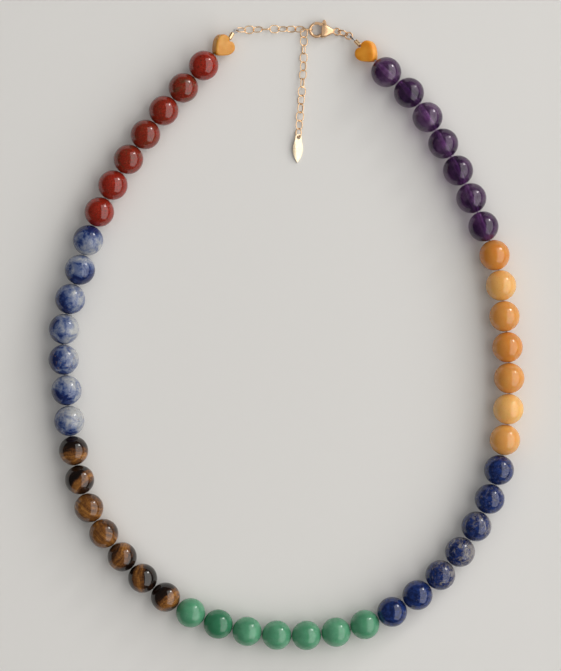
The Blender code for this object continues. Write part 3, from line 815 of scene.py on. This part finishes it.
def bake(thing, turn=Matrix.Identity(4), sharp=40):
    """Applies the modifiers, puts the shape in its place and shades it."""
    helpers = [m.object for m in thing.modifiers if m.type == "BOOLEAN"]
    mesh = bpy.data.meshes.new_from_object(thing.evaluated_get(bpy.context.evaluated_depsgraph_get()))
    thing.modifiers.clear()
    thing.data = mesh
    mesh.name = thing.name
    mesh.transform(turn)
    mesh.shade_smooth()
    mesh.set_sharp_from_angle(angle=math.radians(sharp))
    for helper in helpers:
        bpy.data.objects.remove(helper)
    return thing


def soften(thing, width, segments):
    """Rounds off the sharp edges."""
    bevel = thing.modifiers.new("edges", "BEVEL")
    bevel.width, bevel.segments, bevel.limit_method = width, segments, "ANGLE"


def settle(piece, turn, material, node, body=BODY, sharp=40):
    """Bakes a shape in its place, paints it, and ties it to the plain solid that it stands for."""
    bake(piece, turn, sharp)
    piece.data.materials.clear()
    piece.data.materials.append(material)
    fix(piece, [node], body)


def placed(axes, origin, scale=1.0):
    return Matrix.Translation(origin) @ axes.to_4x4() @ Matrix.Scale(scale, 4)


def upright(place):
    """The turn that stands a rod up at a place."""
    return Matrix.Translation(place) @ Matrix.Rotation(math.radians(90), 4, "Y")


def mirrored_outline(half, length, width, start=()):
    """A smooth closed outline from one half, whose points are shares of the length and the half width."""
    right = [(x * length, y * width / 2) for x, y in half]
    left = [(x, -y) for x, y in reversed(right)]
    return smooth([*start, *right, (length, 0), *left], 5, closed=True)


def near_end(node, axes):
    """The middle of a plain solid's near end, in a frame turned its way."""
    reach = [extent(corners(node), way) for way in axes.col]
    return axes @ Vector((reach[0][0], sum(reach[1]) / 2, sum(reach[2]) / 2))


def solid_axes(node):
    """A plain solid's centre and its principal directions, from its longest to its shortest."""
    mesh = frame["nodes"][node].data
    mesh.calc_loop_triangles()
    rows = corners(node)
    corner_sets = rows[[list(triangle.vertices) for triangle in mesh.loop_triangles]]
    volumes = np.linalg.det(corner_sets) / 6
    centre = (corner_sets.sum(axis=1) / 4 * volumes[:, None]).sum(axis=0) / volumes.sum()
    moved = corner_sets - centre
    volumes = np.linalg.det(moved) / 6
    sums = moved.sum(axis=1)
    spread = np.einsum("n,nij,nik->jk", volumes, moved, moved)
    spread += np.einsum("n,nj,nk->jk", volumes, sums, sums)
    _, ways = np.linalg.eigh(spread)
    return Vector(centre), [Vector(ways[:, k]) for k in (2, 1, 0)]


def facing(way, other):
    """A direction or its reverse, whichever points more towards another."""
    return way if way.dot(Vector(other)) > 0 else -way


print("shape helpers ready")

# %% [markdown]
# ## Heart beads
# A small heart closes each end of the strand. It is a pillow of amber-coloured stone with a satin face, and
# the wire goes in at its notch and out at its tip. The outline is drawn through a few points of one half and
# mirrored; copies of it that shrink towards the faces make the rounded edges. A Boolean drills the hole.

# %% Heart beads
HEART_LENGTH = 5.7 * MM
HEART_WIDTH = 5.9 * MM
HEART_THICKNESS = 3.2 * MM
HEART_NOTCH = 0.5 * MM
HEART_BORE = 0.9 * MM
HEART_HALF = ((0.02, 0.18), (0.0, 0.45), (0.06, 0.76), (0.20, 0.96), (0.38, 1.0),
              (0.56, 0.88), (0.74, 0.64), (0.90, 0.36), (0.98, 0.16))
HEART_MIDDLE = 0.45
HEART_SQUARENESS = 6.5
HEART_LAYERS = 25


def heart_mesh(name):
    outline = mirrored_outline(HEART_HALF, HEART_LENGTH, HEART_WIDTH, [(HEART_NOTCH, 0)])
    middle = Vector((HEART_LENGTH * HEART_MIDDLE, 0))
    rings = []
    for angle in turns(-90, 90, HEART_LAYERS):
        shrink = abs(math.cos(angle)) ** (2 / HEART_SQUARENESS) if abs(angle) < 1.57 else 0
        height = math.copysign(abs(math.sin(angle)) ** (2 / HEART_SQUARENESS), angle) * HEART_THICKNESS / 2
        rings.append([(*(middle + (point - middle) * shrink), height) for point in outline])
    return skin(name, rings, capped=False)


def bore_way(ways, towards):
    """The one of a heart's two longer directions that best points a given way."""
    return facing(max(ways[:2], key=lambda way: abs(way.dot(towards))), towards)


def make_heart(side, first_bead, material):
    node = "heart_" + side
    _, ways = solid_axes(node)
    along = bore_way(ways, CENTRES[first_bead] - middle_of("crimp_" + side))
    axes = axes_of(along, facing(ways[2], UP))
    piece = add_object(node + "_bead", heart_mesh(node))
    cut(piece, "DIFFERENCE", rod("drill", HEART_BORE / 2, HEART_LENGTH * 3))
    settle(piece, placed(axes, near_end(node, axes)), material, node)


def paint_heart(name, deep, pale):
    fixed = {"Roughness": 0.38, "IOR": 1.5, "Subsurface Weight": 0.5, "Subsurface Scale": 1.2 * MM,
             "Subsurface Radius": (1.0, 0.45, 0.12)}
    paint = Paint(name, fixed)
    place = paint.node("ShaderNodeTexCoord", 3)
    cloud = paint.step(paint.noise(place, 420.0, 3.0, 0.5), 0.35, 0.7)
    amber = paint.blend(cloud, deep, pale)
    pits = paint.noise(place, 4200.0, 3.0, 0.6)
    # Painted shade: the pits are painted darker, in the same places where the bump sinks them.
    pit_shaded = paint.blend(paint.step(pits, 0.60, 0.72) * 0.35, amber, (0.45, 0.13, 0.012))
    paint.bump(1 - paint.step(pits, 0.58, 0.7), 0.02 * MM, 0.6)
    return paint.finish(pit_shaded)


# Both hearts are one stone. The right heart gets its own copy of the amber, painted brighter and more orange:
# painted light for a face that the lamps light less.
HEART_AMBER = paint_heart("heart_stone", (0.61, 0.26, 0.027), (0.68, 0.34, 0.064))
LIT_HEART_AMBER = paint_heart("deep_heart_stone", (0.84, 0.32, 0.022), (0.91, 0.40, 0.046))
make_heart("left", STRING[0], HEART_AMBER)
make_heart("right", STRING[-1], LIT_HEART_AMBER)

# %% [markdown]
# ## Gold and steel
# The findings are gold plated brass. A metal has no colour of its own beyond its reflections, so the shader
# is fully metallic, with a warm base colour and a roughness that wanders a little, as handled plating does.
# The cast clasp and the jump rings are browner than the drawn chain, and the flat tag is paler. The beading
# wire is steel: fine strands wound round one another.

# %% Metals
STRANDS = 6
STRAND_LAY = 2.2 * MM


def paint_gold(name, colour, roughness):
    paint = Paint(name, {"Metallic": 1.0})
    place = paint.node("ShaderNodeTexCoord", 3)
    wander = paint.noise(place, 900.0, 3.0, 0.6)
    worn = tuple(part * loss for part, loss in zip(colour, (0.93, 0.88, 0.80)))
    tint = paint.blend(paint.step(wander, 0.3, 0.7) * 0.5, colour, worn)
    scratches = paint.noise(paint.vector("MULTIPLY", place, (1.0, 6.0, 1.0)), 2500.0, 2.0)
    paint.bump(scratches, 0.004 * MM, 0.5)
    return paint.finish(tint, wander * 0.14 + (roughness - 0.07))


GOLD = paint_gold("gold_plate", (0.98, 0.69, 0.42), 0.24)
CAST_GOLD = paint_gold("cast_gold_plate", (0.76, 0.50, 0.30), 0.28)
PALE_GOLD = paint_gold("pale_gold_plate", (0.80, 0.68, 0.50), 0.26)


def paint_steel():
    paint = Paint("steel_wire", {"Metallic": 1.0})
    around = paint.attribute("around")
    angle = paint.maths("ARCTAN2", paint.part(around, 1), paint.part(around, 0))
    lay = paint.maths("SINE", angle * STRANDS + paint.number("along") * (math.tau * STRANDS / STRAND_LAY))
    paint.bump(lay, 0.02 * MM, 0.8)
    # Painted shade: the grooves between the strands are painted darker than the strands themselves.
    shaded_groove = paint.step(lay, -1.0, -0.2)
    return paint.finish(paint.blend(shaded_groove, (0.16, 0.16, 0.17), (0.50, 0.51, 0.54)), 0.42 - shaded_groove * 0.12)


STEEL = paint_steel()
print("metals ready")

# %% [markdown]
# ## Crimp tubes
# A crimp is a short thin-walled tube that is pressed round the two strands of each wire loop. A profile with
# rounded rims is turned round the tube's axis, which is the longest direction of its plain solid.

# %% Crimp tubes
CRIMP_BORE = 0.98 * MM
CRIMP_WALL = 0.12 * MM
CRIMP_WAIST = ((0.5, 0.0), (0.25, 0.006), (0.0, 0.010), (-0.25, 0.006), (-0.5, 0.0))


def make_crimp(side):
    node = "crimp_" + side
    _, ways = solid_axes(node)
    low, high = extent(corners(node), ways[0])
    half = (high - low) / 2
    inner, wall = CRIMP_BORE / 2, CRIMP_WALL
    rim = [(half - wall / 2 + wall / 2 * math.cos(a), inner + wall / 2 + wall / 2 * math.sin(a))
           for a in turns(-90, 90, 7)]
    waist = [(half * share, inner + wall - depth * MM) for share, depth in CRIMP_WAIST]
    other = [(-x, r) for x, r in reversed(rim)]
    piece = add_object(node + "_tube", turned(node, [*rim, *waist, *other], 40))
    settle(piece, placed(axes_of(ways[0], UP), middle_of(node)), GOLD, node)
    return middle_of(node), ways[0], half


CRIMPS = {side: make_crimp(side) for side in ("left", "right")}

# %% [markdown]
# ## Beading wire
# One steel wire runs through every bore. At each end it leaves the heart, passes the crimp, turns back in a
# small loop and ends inside the crimp. The route is worked out from the pieces that it threads; a geometry
# group sweeps the round section along it and notes how far along and round the wire each point is, which
# the steel's twist needs.

# %% Beading wire
WIRE_DIAMETER = 0.34 * MM
LOOP_WIDTH = 1.0 * MM
LOOP_OFFSET = 0.22 * MM
LOOP_ROLLS = {"left": 40, "right": 90}
LOOP_REACH = 2.5 * MM
WIRE_SIDES = 14


def tube_group():
    group = Group("tubes", radius=WIRE_DIAMETER / 2)
    curve = group.node("GeometryNodeMeshToCurve", mesh=group.input("Points"))
    measured = group.store(curve, "along", "FLOAT", group.node("GeometryNodeSplineParameter", 1))
    radius = group.input("radius")
    circle = group.node("GeometryNodeCurvePrimitiveCircle", radius=radius, resolution=WIRE_SIDES)
    around = group.store(circle, "around", "FLOAT_VECTOR", group.node("GeometryNodeInputPosition"))
    group.end(group.node("GeometryNodeCurveToMesh", curve=measured, profile_curve=around, fill_caps=True))
    return group


TUBES = tube_group()


def rolled_axes(along, roll):
    """X along a direction, Y level and to its left, then both rolled about it."""
    level = axes_of(along, UP)
    return Matrix.Rotation(math.radians(roll), 3, level.col[0]) @ level


def loop_route(side):
    """The wire from the crimp's inner end round the loop and back into the crimp."""
    centre, axis, half = CRIMPS[side]
    outward = facing(axis, centre - middle_of("heart_" + side))
    inner, outer = centre - outward * half, centre + outward * half
    rows = corners("bead_wire") - np.array(outer)
    loop = rows[(rows @ np.array(outward) > 0) & (np.linalg.norm(rows, axis=1) < LOOP_REACH)]
    way = Vector(loop.mean(axis=0)).normalized()
    far = outer + way * (extent(loop, way)[1] - WIRE_DIAMETER / 2)
    axes = rolled_axes(far - outer, LOOP_ROLLS[side])
    outwards, across = axes.col[0], axes.col[1]
    beside = rolled_axes(outer - inner, LOOP_ROLLS[side]).col[1] * LOOP_OFFSET
    turn = far - outwards * LOOP_WIDTH / 2
    bow = [turn + (outwards * math.sin(a) - across * math.cos(a)) * LOOP_WIDTH / 2 for a in turns(0, 180, 9)]
    return smooth([inner - beside, outer - beside, *bow, outer + beside, outer.lerp(inner, 0.8) + beside], 6)


def meetings():
    """The places half way between neighbouring bores."""
    ends = [(CENTRES[n] - string_way(n) * RADII[n], CENTRES[n] + string_way(n) * RADII[n]) for n in STRING]
    return [(one[1] + two[0]) / 2 for one, two in zip(ends, ends[1:])]


def heart_mouths(side):
    """The notch and the tip ends of a heart's bore, along its own hole."""
    heart = "heart_" + side
    centre, ways = solid_axes(heart)
    along = bore_way(ways, centre - middle_of("crimp_" + side))
    low, high = extent(corners(heart), along)
    foot = centre - along * centre.dot(along)
    return foot + along * (low + HEART_NOTCH), foot + along * high


def make_wire():
    left, right = loop_route("left"), loop_route("right")
    first, last = heart_mouths("left"), heart_mouths("right")
    route = [*reversed(left), *first, *meetings(), *reversed(last), *right]
    edges = [(k, k + 1) for k in range(len(route) - 1)]
    piece = TUBES.run("beading_wire", route, {}, STEEL, edges)
    fix(piece, ["bead_wire"])


make_wire()

# %% [markdown]
# ## Rings and links
# A jump ring is a bent piece of round wire whose two ends meet, so a hair-fine joint shows. A chain link is
# an oval that is soldered shut. Both come from one recipe: a circle whose halves are moved apart to make
# the oval's straight sides, with a round section swept along it.

# %% Ring and link groups
JOINT_ANGLE = 0.9
RING_CREASE = 60
LINK_STEPS = 40
RING_STEPS = 64
RING_SIDES = 14


def ring_group(name, soldered):
    group = Group(name, length=3 * MM, width=3 * MM, wire=0.4 * MM, joint=0.04 * MM)
    length, width, wire = group.input("length"), group.input("width"), group.input("wire")
    bend = (width - wire) / 2
    if soldered:
        circle = group.node("GeometryNodeCurvePrimitiveCircle", resolution=LINK_STEPS, radius=bend)
    else:
        opening = group.input("joint") / bend
        circle = group.node("GeometryNodeCurveArc", resolution=RING_STEPS, radius=bend,
                            start_angle=JOINT_ANGLE + opening / 2, sweep_angle=math.tau - opening)
    side = group.part(group.node("GeometryNodeInputPosition"), 0)
    apart = group.maths("SIGN", group.maths("SNAP", side, 0.01 * MM)) * (length - width) / 2
    oval = group.node("GeometryNodeSetPosition", geometry=circle, offset=group.join(apart, 0.0, 0.0))
    section = group.node("GeometryNodeCurvePrimitiveCircle", resolution=RING_SIDES, radius=wire / 2)
    swept = group.node("GeometryNodeCurveToMesh", curve=oval, profile_curve=section, fill_caps=not soldered)
    group.end(group.copies(group.crease(swept, RING_CREASE)))
    return group


JUMP_RINGS = ring_group("jump_rings", soldered=False)
LINKS = ring_group("links", soldered=True)

# %% [markdown]
# ## Jump rings
# Two round rings of stout wire join the clasp's eyelet to the loop at the right end of the beading wire.

# %% Jump rings
JUMP_WIRE = 0.4 * MM


def make_jump_ring(node, diameter):
    _, ways = solid_axes(node)
    turn = tuple(axes_of(ways[0], ways[2]).to_euler())
    piece = JUMP_RINGS.run(node + "_wire", [middle_of(node)], {"turn": [turn]}, CAST_GOLD,
                           length=diameter, width=diameter, wire=JUMP_WIRE)
    fix(piece, [node])


make_jump_ring("clasp_ring", 3.0 * MM)
make_jump_ring("strand_ring", 2.3 * MM)

# %% [markdown]
# ## Extender chain
# Eight fine oval links join the left loop to the link that the clasp holds, and twelve more hang from that
# link, with a rounder ring at the end for the tag. The path of each run is fitted through the plain chain's
# own corners, which lie evenly on both sides of it. Each link then turns about the path by its own angle
# and rests on the table on its lower side.

# %% Extender chain
LINK_WIDTH = 2.25 * MM
LINK_WIRE = 0.28 * MM
LINK_LENGTH = 2.80 * MM
LINK_PITCH = 2.24 * MM
PLAIN_REACH = 2.46 * MM
RUN_ROLLS = (90, 35, -46, 46, 0, 85, 40, -15, 50)
TAIL_ROLLS = (28, -20, 70, 20, -42, 28, -65, -15, 36, -45, 12, -35)
TAG_RING = {"length": 2.7 * MM, "width": 2.5 * MM, "wire": 0.34 * MM}
TAG_RING_ROLL = 50
TABLE_GAP = 0.02 * MM
HOOK_DROP = 0.42 * MM
LOOP_LEVEL = 1.5 * MM
TAG_EYE_LEVEL = 0.8 * MM
TAG_RING_OVERLAP = 0.25 * MM
RUN_FLOOR = 78.0 * MM
TAIL_TOP = 78.6 * MM
TAIL_SIDES = (1.5 * MM, 5.6 * MM)
CURVE_DEGREE = 3
WALK_REACH = 35
WALK_STEPS = 1800


def rest_height(width, wire, roll):
    return (width - wire) / 2 * abs(math.sin(math.radians(roll))) + wire / 2 + TABLE_GAP


def walk(curve, start, sense, axis, distances):
    """Points at some distances along a fitted curve, counted from a coordinate in one sense."""
    steps = start + sense * np.linspace(0, WALK_REACH, WALK_STEPS) * MM
    across = np.polyval(curve, steps)
    line = np.stack([steps, across] if axis == 0 else [across, steps], axis=1)
    lengths = np.concatenate([[0], np.cumsum(np.linalg.norm(np.diff(line, axis=0), axis=1))])
    return [(np.interp(d, lengths, line[:, 0]), np.interp(d, lengths, line[:, 1])) for d in distances]


def lay_links(spots, levels, rolls):
    """Places and turns of links whose two ends lie at given spots and heights."""
    places, rotations = [], []
    for (start, end), (low, high), roll in zip(spots, levels, rolls):
        start, end = Vector((*start, low)), Vector((*end, high))
        places.append((start + end) / 2)
        rotations.append(tuple(rolled_axes(end - start, roll).to_euler()))
    return places, rotations


def chain_spots():
    rows = corners("extender_chain")
    right_end = rows[:, 0].max() - LINK_WIRE / 2
    beside_tail = (rows[:, 0] < TAIL_SIDES[0]) | (rows[:, 0] > TAIL_SIDES[1])
    run = rows[(rows[:, 1] > RUN_FLOOR) & beside_tail]
    run_curve = np.polyfit(run[:, 0], run[:, 1], CURVE_DEGREE)
    starts = [k * LINK_PITCH for k in range(len(RUN_ROLLS))]
    first = walk(run_curve, right_end, -1, 0, starts)
    last = walk(run_curve, right_end, -1, 0, [d + PLAIN_REACH for d in starts])
    tail = rows[rows[:, 1] < TAIL_TOP]
    tail_curve = np.polyfit(tail[:, 1], tail[:, 0], CURVE_DEGREE)
    foot = rows[:, 1].min() + TAG_RING["wire"] / 2
    tag_reach = TAG_RING["length"] - TAG_RING["wire"]
    ends = [tag_reach - TAG_RING_OVERLAP + k * LINK_PITCH for k in range(len(TAIL_ROLLS))]
    low = walk(tail_curve, foot, 1, 1, [0.0, *ends])
    high = walk(tail_curve, foot, 1, 1, [tag_reach, *[d + PLAIN_REACH for d in ends]])
    return list(zip(first, last)), list(zip(high, low))


def make_chain():
    run_spots, tail_spots = chain_spots()
    rests = [rest_height(LINK_WIDTH, LINK_WIRE, roll) for roll in RUN_ROLLS]
    hooks = [rests[0], *[max(pair) for pair in zip(rests, rests[1:])], LOOP_LEVEL]
    places, rotations = lay_links(run_spots, list(zip(hooks, hooks[1:])), RUN_ROLLS)
    ring_rest = rest_height(TAG_RING["width"], TAG_RING["wire"], TAG_RING_ROLL)
    rests = [rest_height(LINK_WIDTH, LINK_WIRE, roll) for roll in TAIL_ROLLS]
    top = rest_height(LINK_WIDTH, LINK_WIRE, RUN_ROLLS[0]) - HOOK_DROP
    hooks = [top, *[max(pair) for pair in zip(rests, rests[1:])], 2 * ring_rest - TAG_EYE_LEVEL]
    ring_spots, link_spots = tail_spots[0], tail_spots[:0:-1]
    more, turned_too = lay_links(link_spots, list(zip(hooks, hooks[1:])), TAIL_ROLLS)
    piece = LINKS.run("extender_links", places + more, {"turn": rotations + turned_too}, GOLD,
                      length=LINK_LENGTH, width=LINK_WIDTH, wire=LINK_WIRE)
    fix(piece, ["extender_chain"])
    place, turn = lay_links([ring_spots], [(hooks[-1], TAG_EYE_LEVEL)], [TAG_RING_ROLL])
    ring = JUMP_RINGS.run("tag_ring", place, {"turn": turn}, GOLD, **TAG_RING)
    fix(ring, ["extender_chain"])


make_chain()

# %% [markdown]
# ## End tag
# A thin leaf of gold-plated sheet hangs at the chain's end. Its face is bare, with the fine grain of brushed
# plating. The outline is mirrored from one half, and a Bevel softens the stamped edges.

# %% End tag
TAG_LENGTH = 7.65 * MM
TAG_WIDTH = 2.7 * MM
TAG_THICKNESS = 0.35 * MM
TAG_HOLE = 1.0 * MM
TAG_HOLE_SEAT = 0.9 * MM
TAG_EDGE = 0.05 * MM
TAG_HALF = ((0.0, 0.20), (0.03, 0.48), (0.08, 0.65), (0.14, 0.70), (0.20, 0.69), (0.28, 0.80),
            (0.42, 0.97), (0.55, 1.0), (0.70, 0.88), (0.85, 0.55), (0.95, 0.22))


def make_tag():
    _, ways = solid_axes("tag")
    axes = axes_of(facing(ways[0], (0, -1, 0)), facing(ways[2], UP))
    outline = mirrored_outline(TAG_HALF, TAG_LENGTH, TAG_WIDTH)
    piece = add_object("leaf_tag", plate("leaf_tag", outline, TAG_THICKNESS))
    hole = rod("tag_hole", TAG_HOLE / 2, TAG_THICKNESS * 4, 40)
    cut(piece, "DIFFERENCE", hole, upright((TAG_HOLE_SEAT, 0, 0)))
    soften(piece, TAG_EDGE, 3)
    settle(piece, placed(axes, near_end("tag", axes)), PALE_GOLD, "tag")


make_tag()

# %% [markdown]
# ## Lobster clasp
# The clasp's hook, domed body and eyelet are cast as one. They are modelled as three overlapping shapes, in
# millimetres, then a voxel Remesh melts them together and a Smooth modifier rounds the joins as casting
# does. Afterwards a Boolean cuts the lever's slot, and a pin crosses it.

# %% Clasp body
CLASP_LENGTH = 8.7
CLAW_WIDTH = 4.26
CLAW_WIRE = 0.78
SHOULDER = 3.45
BODY_LENGTH = 3.17
BODY_THICKNESS = 1.9
BODY_SQUARENESS = 2.6
BODY_SECTIONS = ((0.0, 0.93, 0.84), (0.20, 0.90, 1.0), (0.45, 0.74, 0.95), (0.70, 0.50, 0.76),
                 (0.90, 0.32, 0.52), (1.0, 0.26, 0.42))
EYELET_DIAMETER = 2.2
EYELET_WIRE = 0.42
TIP_ANGLE = 118
LEVER_BAND = 0.7
LEVER_THICKNESS = 0.7
BARREL = 0.55
PIN = 0.2
SLOT_GAP = 0.1
CLAW_ROOT = -42
CLAW_OVERRUN = 10
CLAW_ROOT_DEPTH = 0.72
TIP_SWEEP = (150, 206)
CLASP_CREASE = 35
CLAW_RADIUS = (CLAW_WIDTH - CLAW_WIRE) / 2
CLAW_CENTRE = Vector((CLAW_WIDTH / 2, 0, 0))
PIVOT = Vector((SHOULDER + 0.7, 1.4, 0))
HINGE = Vector(frame["joints"][0]["pos_m"])
VOXEL = 0.07
CAST_SIDES = 48
EYELET_SIDES = 16


def on_claw(degrees, radius):
    angle = math.radians(degrees)
    return CLAW_CENTRE + Vector((math.cos(angle), math.sin(angle), 0)) * radius


def round_pivot(angle, radius):
    return PIVOT + Vector((math.cos(angle), math.sin(angle), 0)) * radius


def clasp_turn():
    """Where the clasp lies: its eyelet's far end, seen from the hinge, tells how far it is turned."""
    rows = corners("clasp_body")
    known = Vector((CLASP_LENGTH, 0, 0)) - PIVOT
    angle = 0.0
    for _ in range(4):
        reach = rows @ np.array((math.cos(angle), math.sin(angle), 0))
        seen = Vector(rows[reach > reach.max() - 0.02 * MM].mean(axis=0)) - HINGE
        angle = math.atan2(seen.y, seen.x) - math.atan2(known.y, known.x)
    axes = Matrix.Rotation(angle, 3, "Z")
    return placed(axes, HINGE - axes @ PIVOT * MM, MM)


CLASP_TURN = clasp_turn()


def body_shape():
    sections = smooth(BODY_SECTIONS, 6)
    rings = []
    for share, side, thick in sections:
        ring = []
        for angle in full_turn(CAST_SIDES):
            y, z = math.cos(angle), math.sin(angle)
            grow = (abs(y) ** BODY_SQUARENESS + abs(z) ** BODY_SQUARENESS) ** (-1 / BODY_SQUARENESS)
            ring.append((SHOULDER + share * BODY_LENGTH, y * grow * side * CLAW_WIDTH / 2,
                         z * grow * thick * BODY_THICKNESS / 2))
        rings.append(ring)
    return skin("body", rings)


def claw_shape():
    """A hook that runs past the lever's tip; the tip's sweep is cut away from it afterwards."""
    root = Vector((SHOULDER + CLAW_WIRE, -CLAW_RADIUS * CLAW_ROOT_DEPTH, 0))
    angles = np.linspace(CLAW_ROOT, TIP_ANGLE - 360 - CLAW_OVERRUN, 60)
    return tube("claw", [root, *[on_claw(angle, CLAW_RADIUS) for angle in angles]], CLAW_WIRE / 2, 20)


def eyelet_shape():
    centre, wire = CLASP_LENGTH - EYELET_DIAMETER / 2, EYELET_WIRE / 2
    bend = EYELET_DIAMETER / 2 - wire
    rings = []
    for a in full_turn(CAST_SIDES):
        section = [(bend + wire * math.cos(b), wire * math.sin(b)) for b in full_turn(EYELET_SIDES)]
        rings.append([(centre + r * math.cos(a), r * math.sin(a), z) for r, z in section])
    return skin("eyelet", rings, ring_of_rings=True)


def joined(name, meshes):
    """Several meshes as one, still overlapping."""
    shape = bmesh.new()
    for mesh in meshes:
        shape.from_mesh(mesh)
    whole = bpy.data.meshes.new(name)
    shape.to_mesh(whole)
    shape.free()
    return whole


def tip_reach():
    return (on_claw(TIP_ANGLE, CLAW_RADIUS) - PIVOT).length


def make_clasp_body():
    piece = add_object("lobster_clasp", joined("lobster_clasp", [body_shape(), claw_shape(), eyelet_shape()]))
    melt = piece.modifiers.new("melt", "REMESH")
    melt.mode, melt.voxel_size = "VOXEL", VOXEL
    calm = piece.modifiers.new("calm", "SMOOTH")
    calm.factor, calm.iterations = 0.5, 5
    bake(piece)
    floor = PIVOT.y - BARREL - SLOT_GAP
    end = PIVOT.x + BARREL + SLOT_GAP
    slot = [(SHOULDER - LEVER_BAND, floor - LEVER_BAND / 4), (PIVOT.x, floor), (end, floor + BARREL / 2),
            (end, CLAW_WIDTH), (SHOULDER - LEVER_BAND, CLAW_WIDTH)]
    cut(piece, "DIFFERENCE", plate("slot", slot, LEVER_THICKNESS + 2 * SLOT_GAP))
    sweep = [round_pivot(angle, tip_reach() + SLOT_GAP / 2) for angle in turns(*TIP_SWEEP, 40)]
    cut(piece, "DIFFERENCE", plate("sweep", [PIVOT, *sweep], 2 * CLAW_WIRE))
    cut(piece, "UNION", rod("pin", PIN, BODY_THICKNESS * 0.8), upright(PIVOT))
    settle(piece, CLASP_TURN, CAST_GOLD, "clasp_body", sharp=CLASP_CREASE)


make_clasp_body()

# %% [markdown]
# ## Clasp lever
# The lever closes the hook's mouth. It turns on the pin, and the thumb pulls back its little nub to open the
# clasp. Its outline follows the hook's own curve, and its tip is rounded about the pin so that it clears the
# hook as it swings. It is the only piece that moves by itself.

# %% Clasp lever
LEVER_BODY = "lever"
LEVER_EDGE = 0.11
BAND_INNER_START = 52
BAND_OUTER_END = 76
BARREL_TURN = (20, -170)
NUB = ((-0.72, 0.58), (-0.60, 0.98), (-0.46, 1.32), (-0.20, 1.50), (0.08, 1.40), (0.26, 1.04), (0.44, 0.60))
PIN_CLEARANCE = 0.08


def swing_angle(radius, reach):
    """Where a circle round the claw's centre meets a circle round the pivot, in degrees."""
    away = PIVOT - CLAW_CENTRE
    cosine = (radius**2 + away.length_squared - reach**2) / (2 * radius * away.length)
    return math.degrees(math.atan2(away.y, away.x) + math.acos(cosine))


def lever_outline():
    outer, inner = CLAW_WIDTH / 2, CLAW_WIDTH / 2 - LEVER_BAND
    reach = tip_reach() - SLOT_GAP / 2
    band = [on_claw(a, inner) for a in np.linspace(BAND_INNER_START, swing_angle(inner, reach), 16)]
    band += [on_claw(a, outer) for a in np.linspace(swing_angle(outer, reach), BAND_OUTER_END, 12)]
    nub = [PIVOT + Vector((x, y, 0)) for x, y in NUB]
    return [*band, *smooth(nub, 4), *[round_pivot(a, BARREL) for a in turns(*BARREL_TURN, 20)]]


def make_lever():
    piece = add_object("clasp_lever_arm", plate("clasp_lever_arm", lever_outline(), LEVER_THICKNESS))
    hole = rod("pin_hole", PIN + PIN_CLEARANCE, BODY_THICKNESS * 2)
    cut(piece, "DIFFERENCE", hole, upright(PIVOT))
    soften(piece, LEVER_EDGE, 4)
    settle(piece, CLASP_TURN, CAST_GOLD, "clasp_lever", LEVER_BODY, CLASP_CREASE)


make_lever()

# %% [markdown]
# ## A glow for the metal
# Small gold pieces look bright in a pale room, because each of them mirrors walls and ceiling. The dim room
# that suits the stones would leave the gold brown, so one more soft panel overhead lights the gold alone:
# light linking lets a lamp shine on the members of one collection.

# %% Metal glow
GLOW_LIGHT = 0.58


def light_metal():
    metal = bpy.data.collections.new("metal_pieces")
    golds = {GOLD.name, CAST_GOLD.name, PALE_GOLD.name}
    for piece in bpy.context.scene.objects:
        if piece.type == "MESH" and golds & set(piece.data.materials.keys()):
            metal.objects.link(piece)
    glow = panel_light("metal_glow", azimuth=200, elevation=76, distance=1.6, size=(3.4, 2.6),
                       radiance=GLOW_LIGHT, colour=(1.0, 0.97, 0.92))
    glow.light_linking.receiver_collection = metal


light_metal()
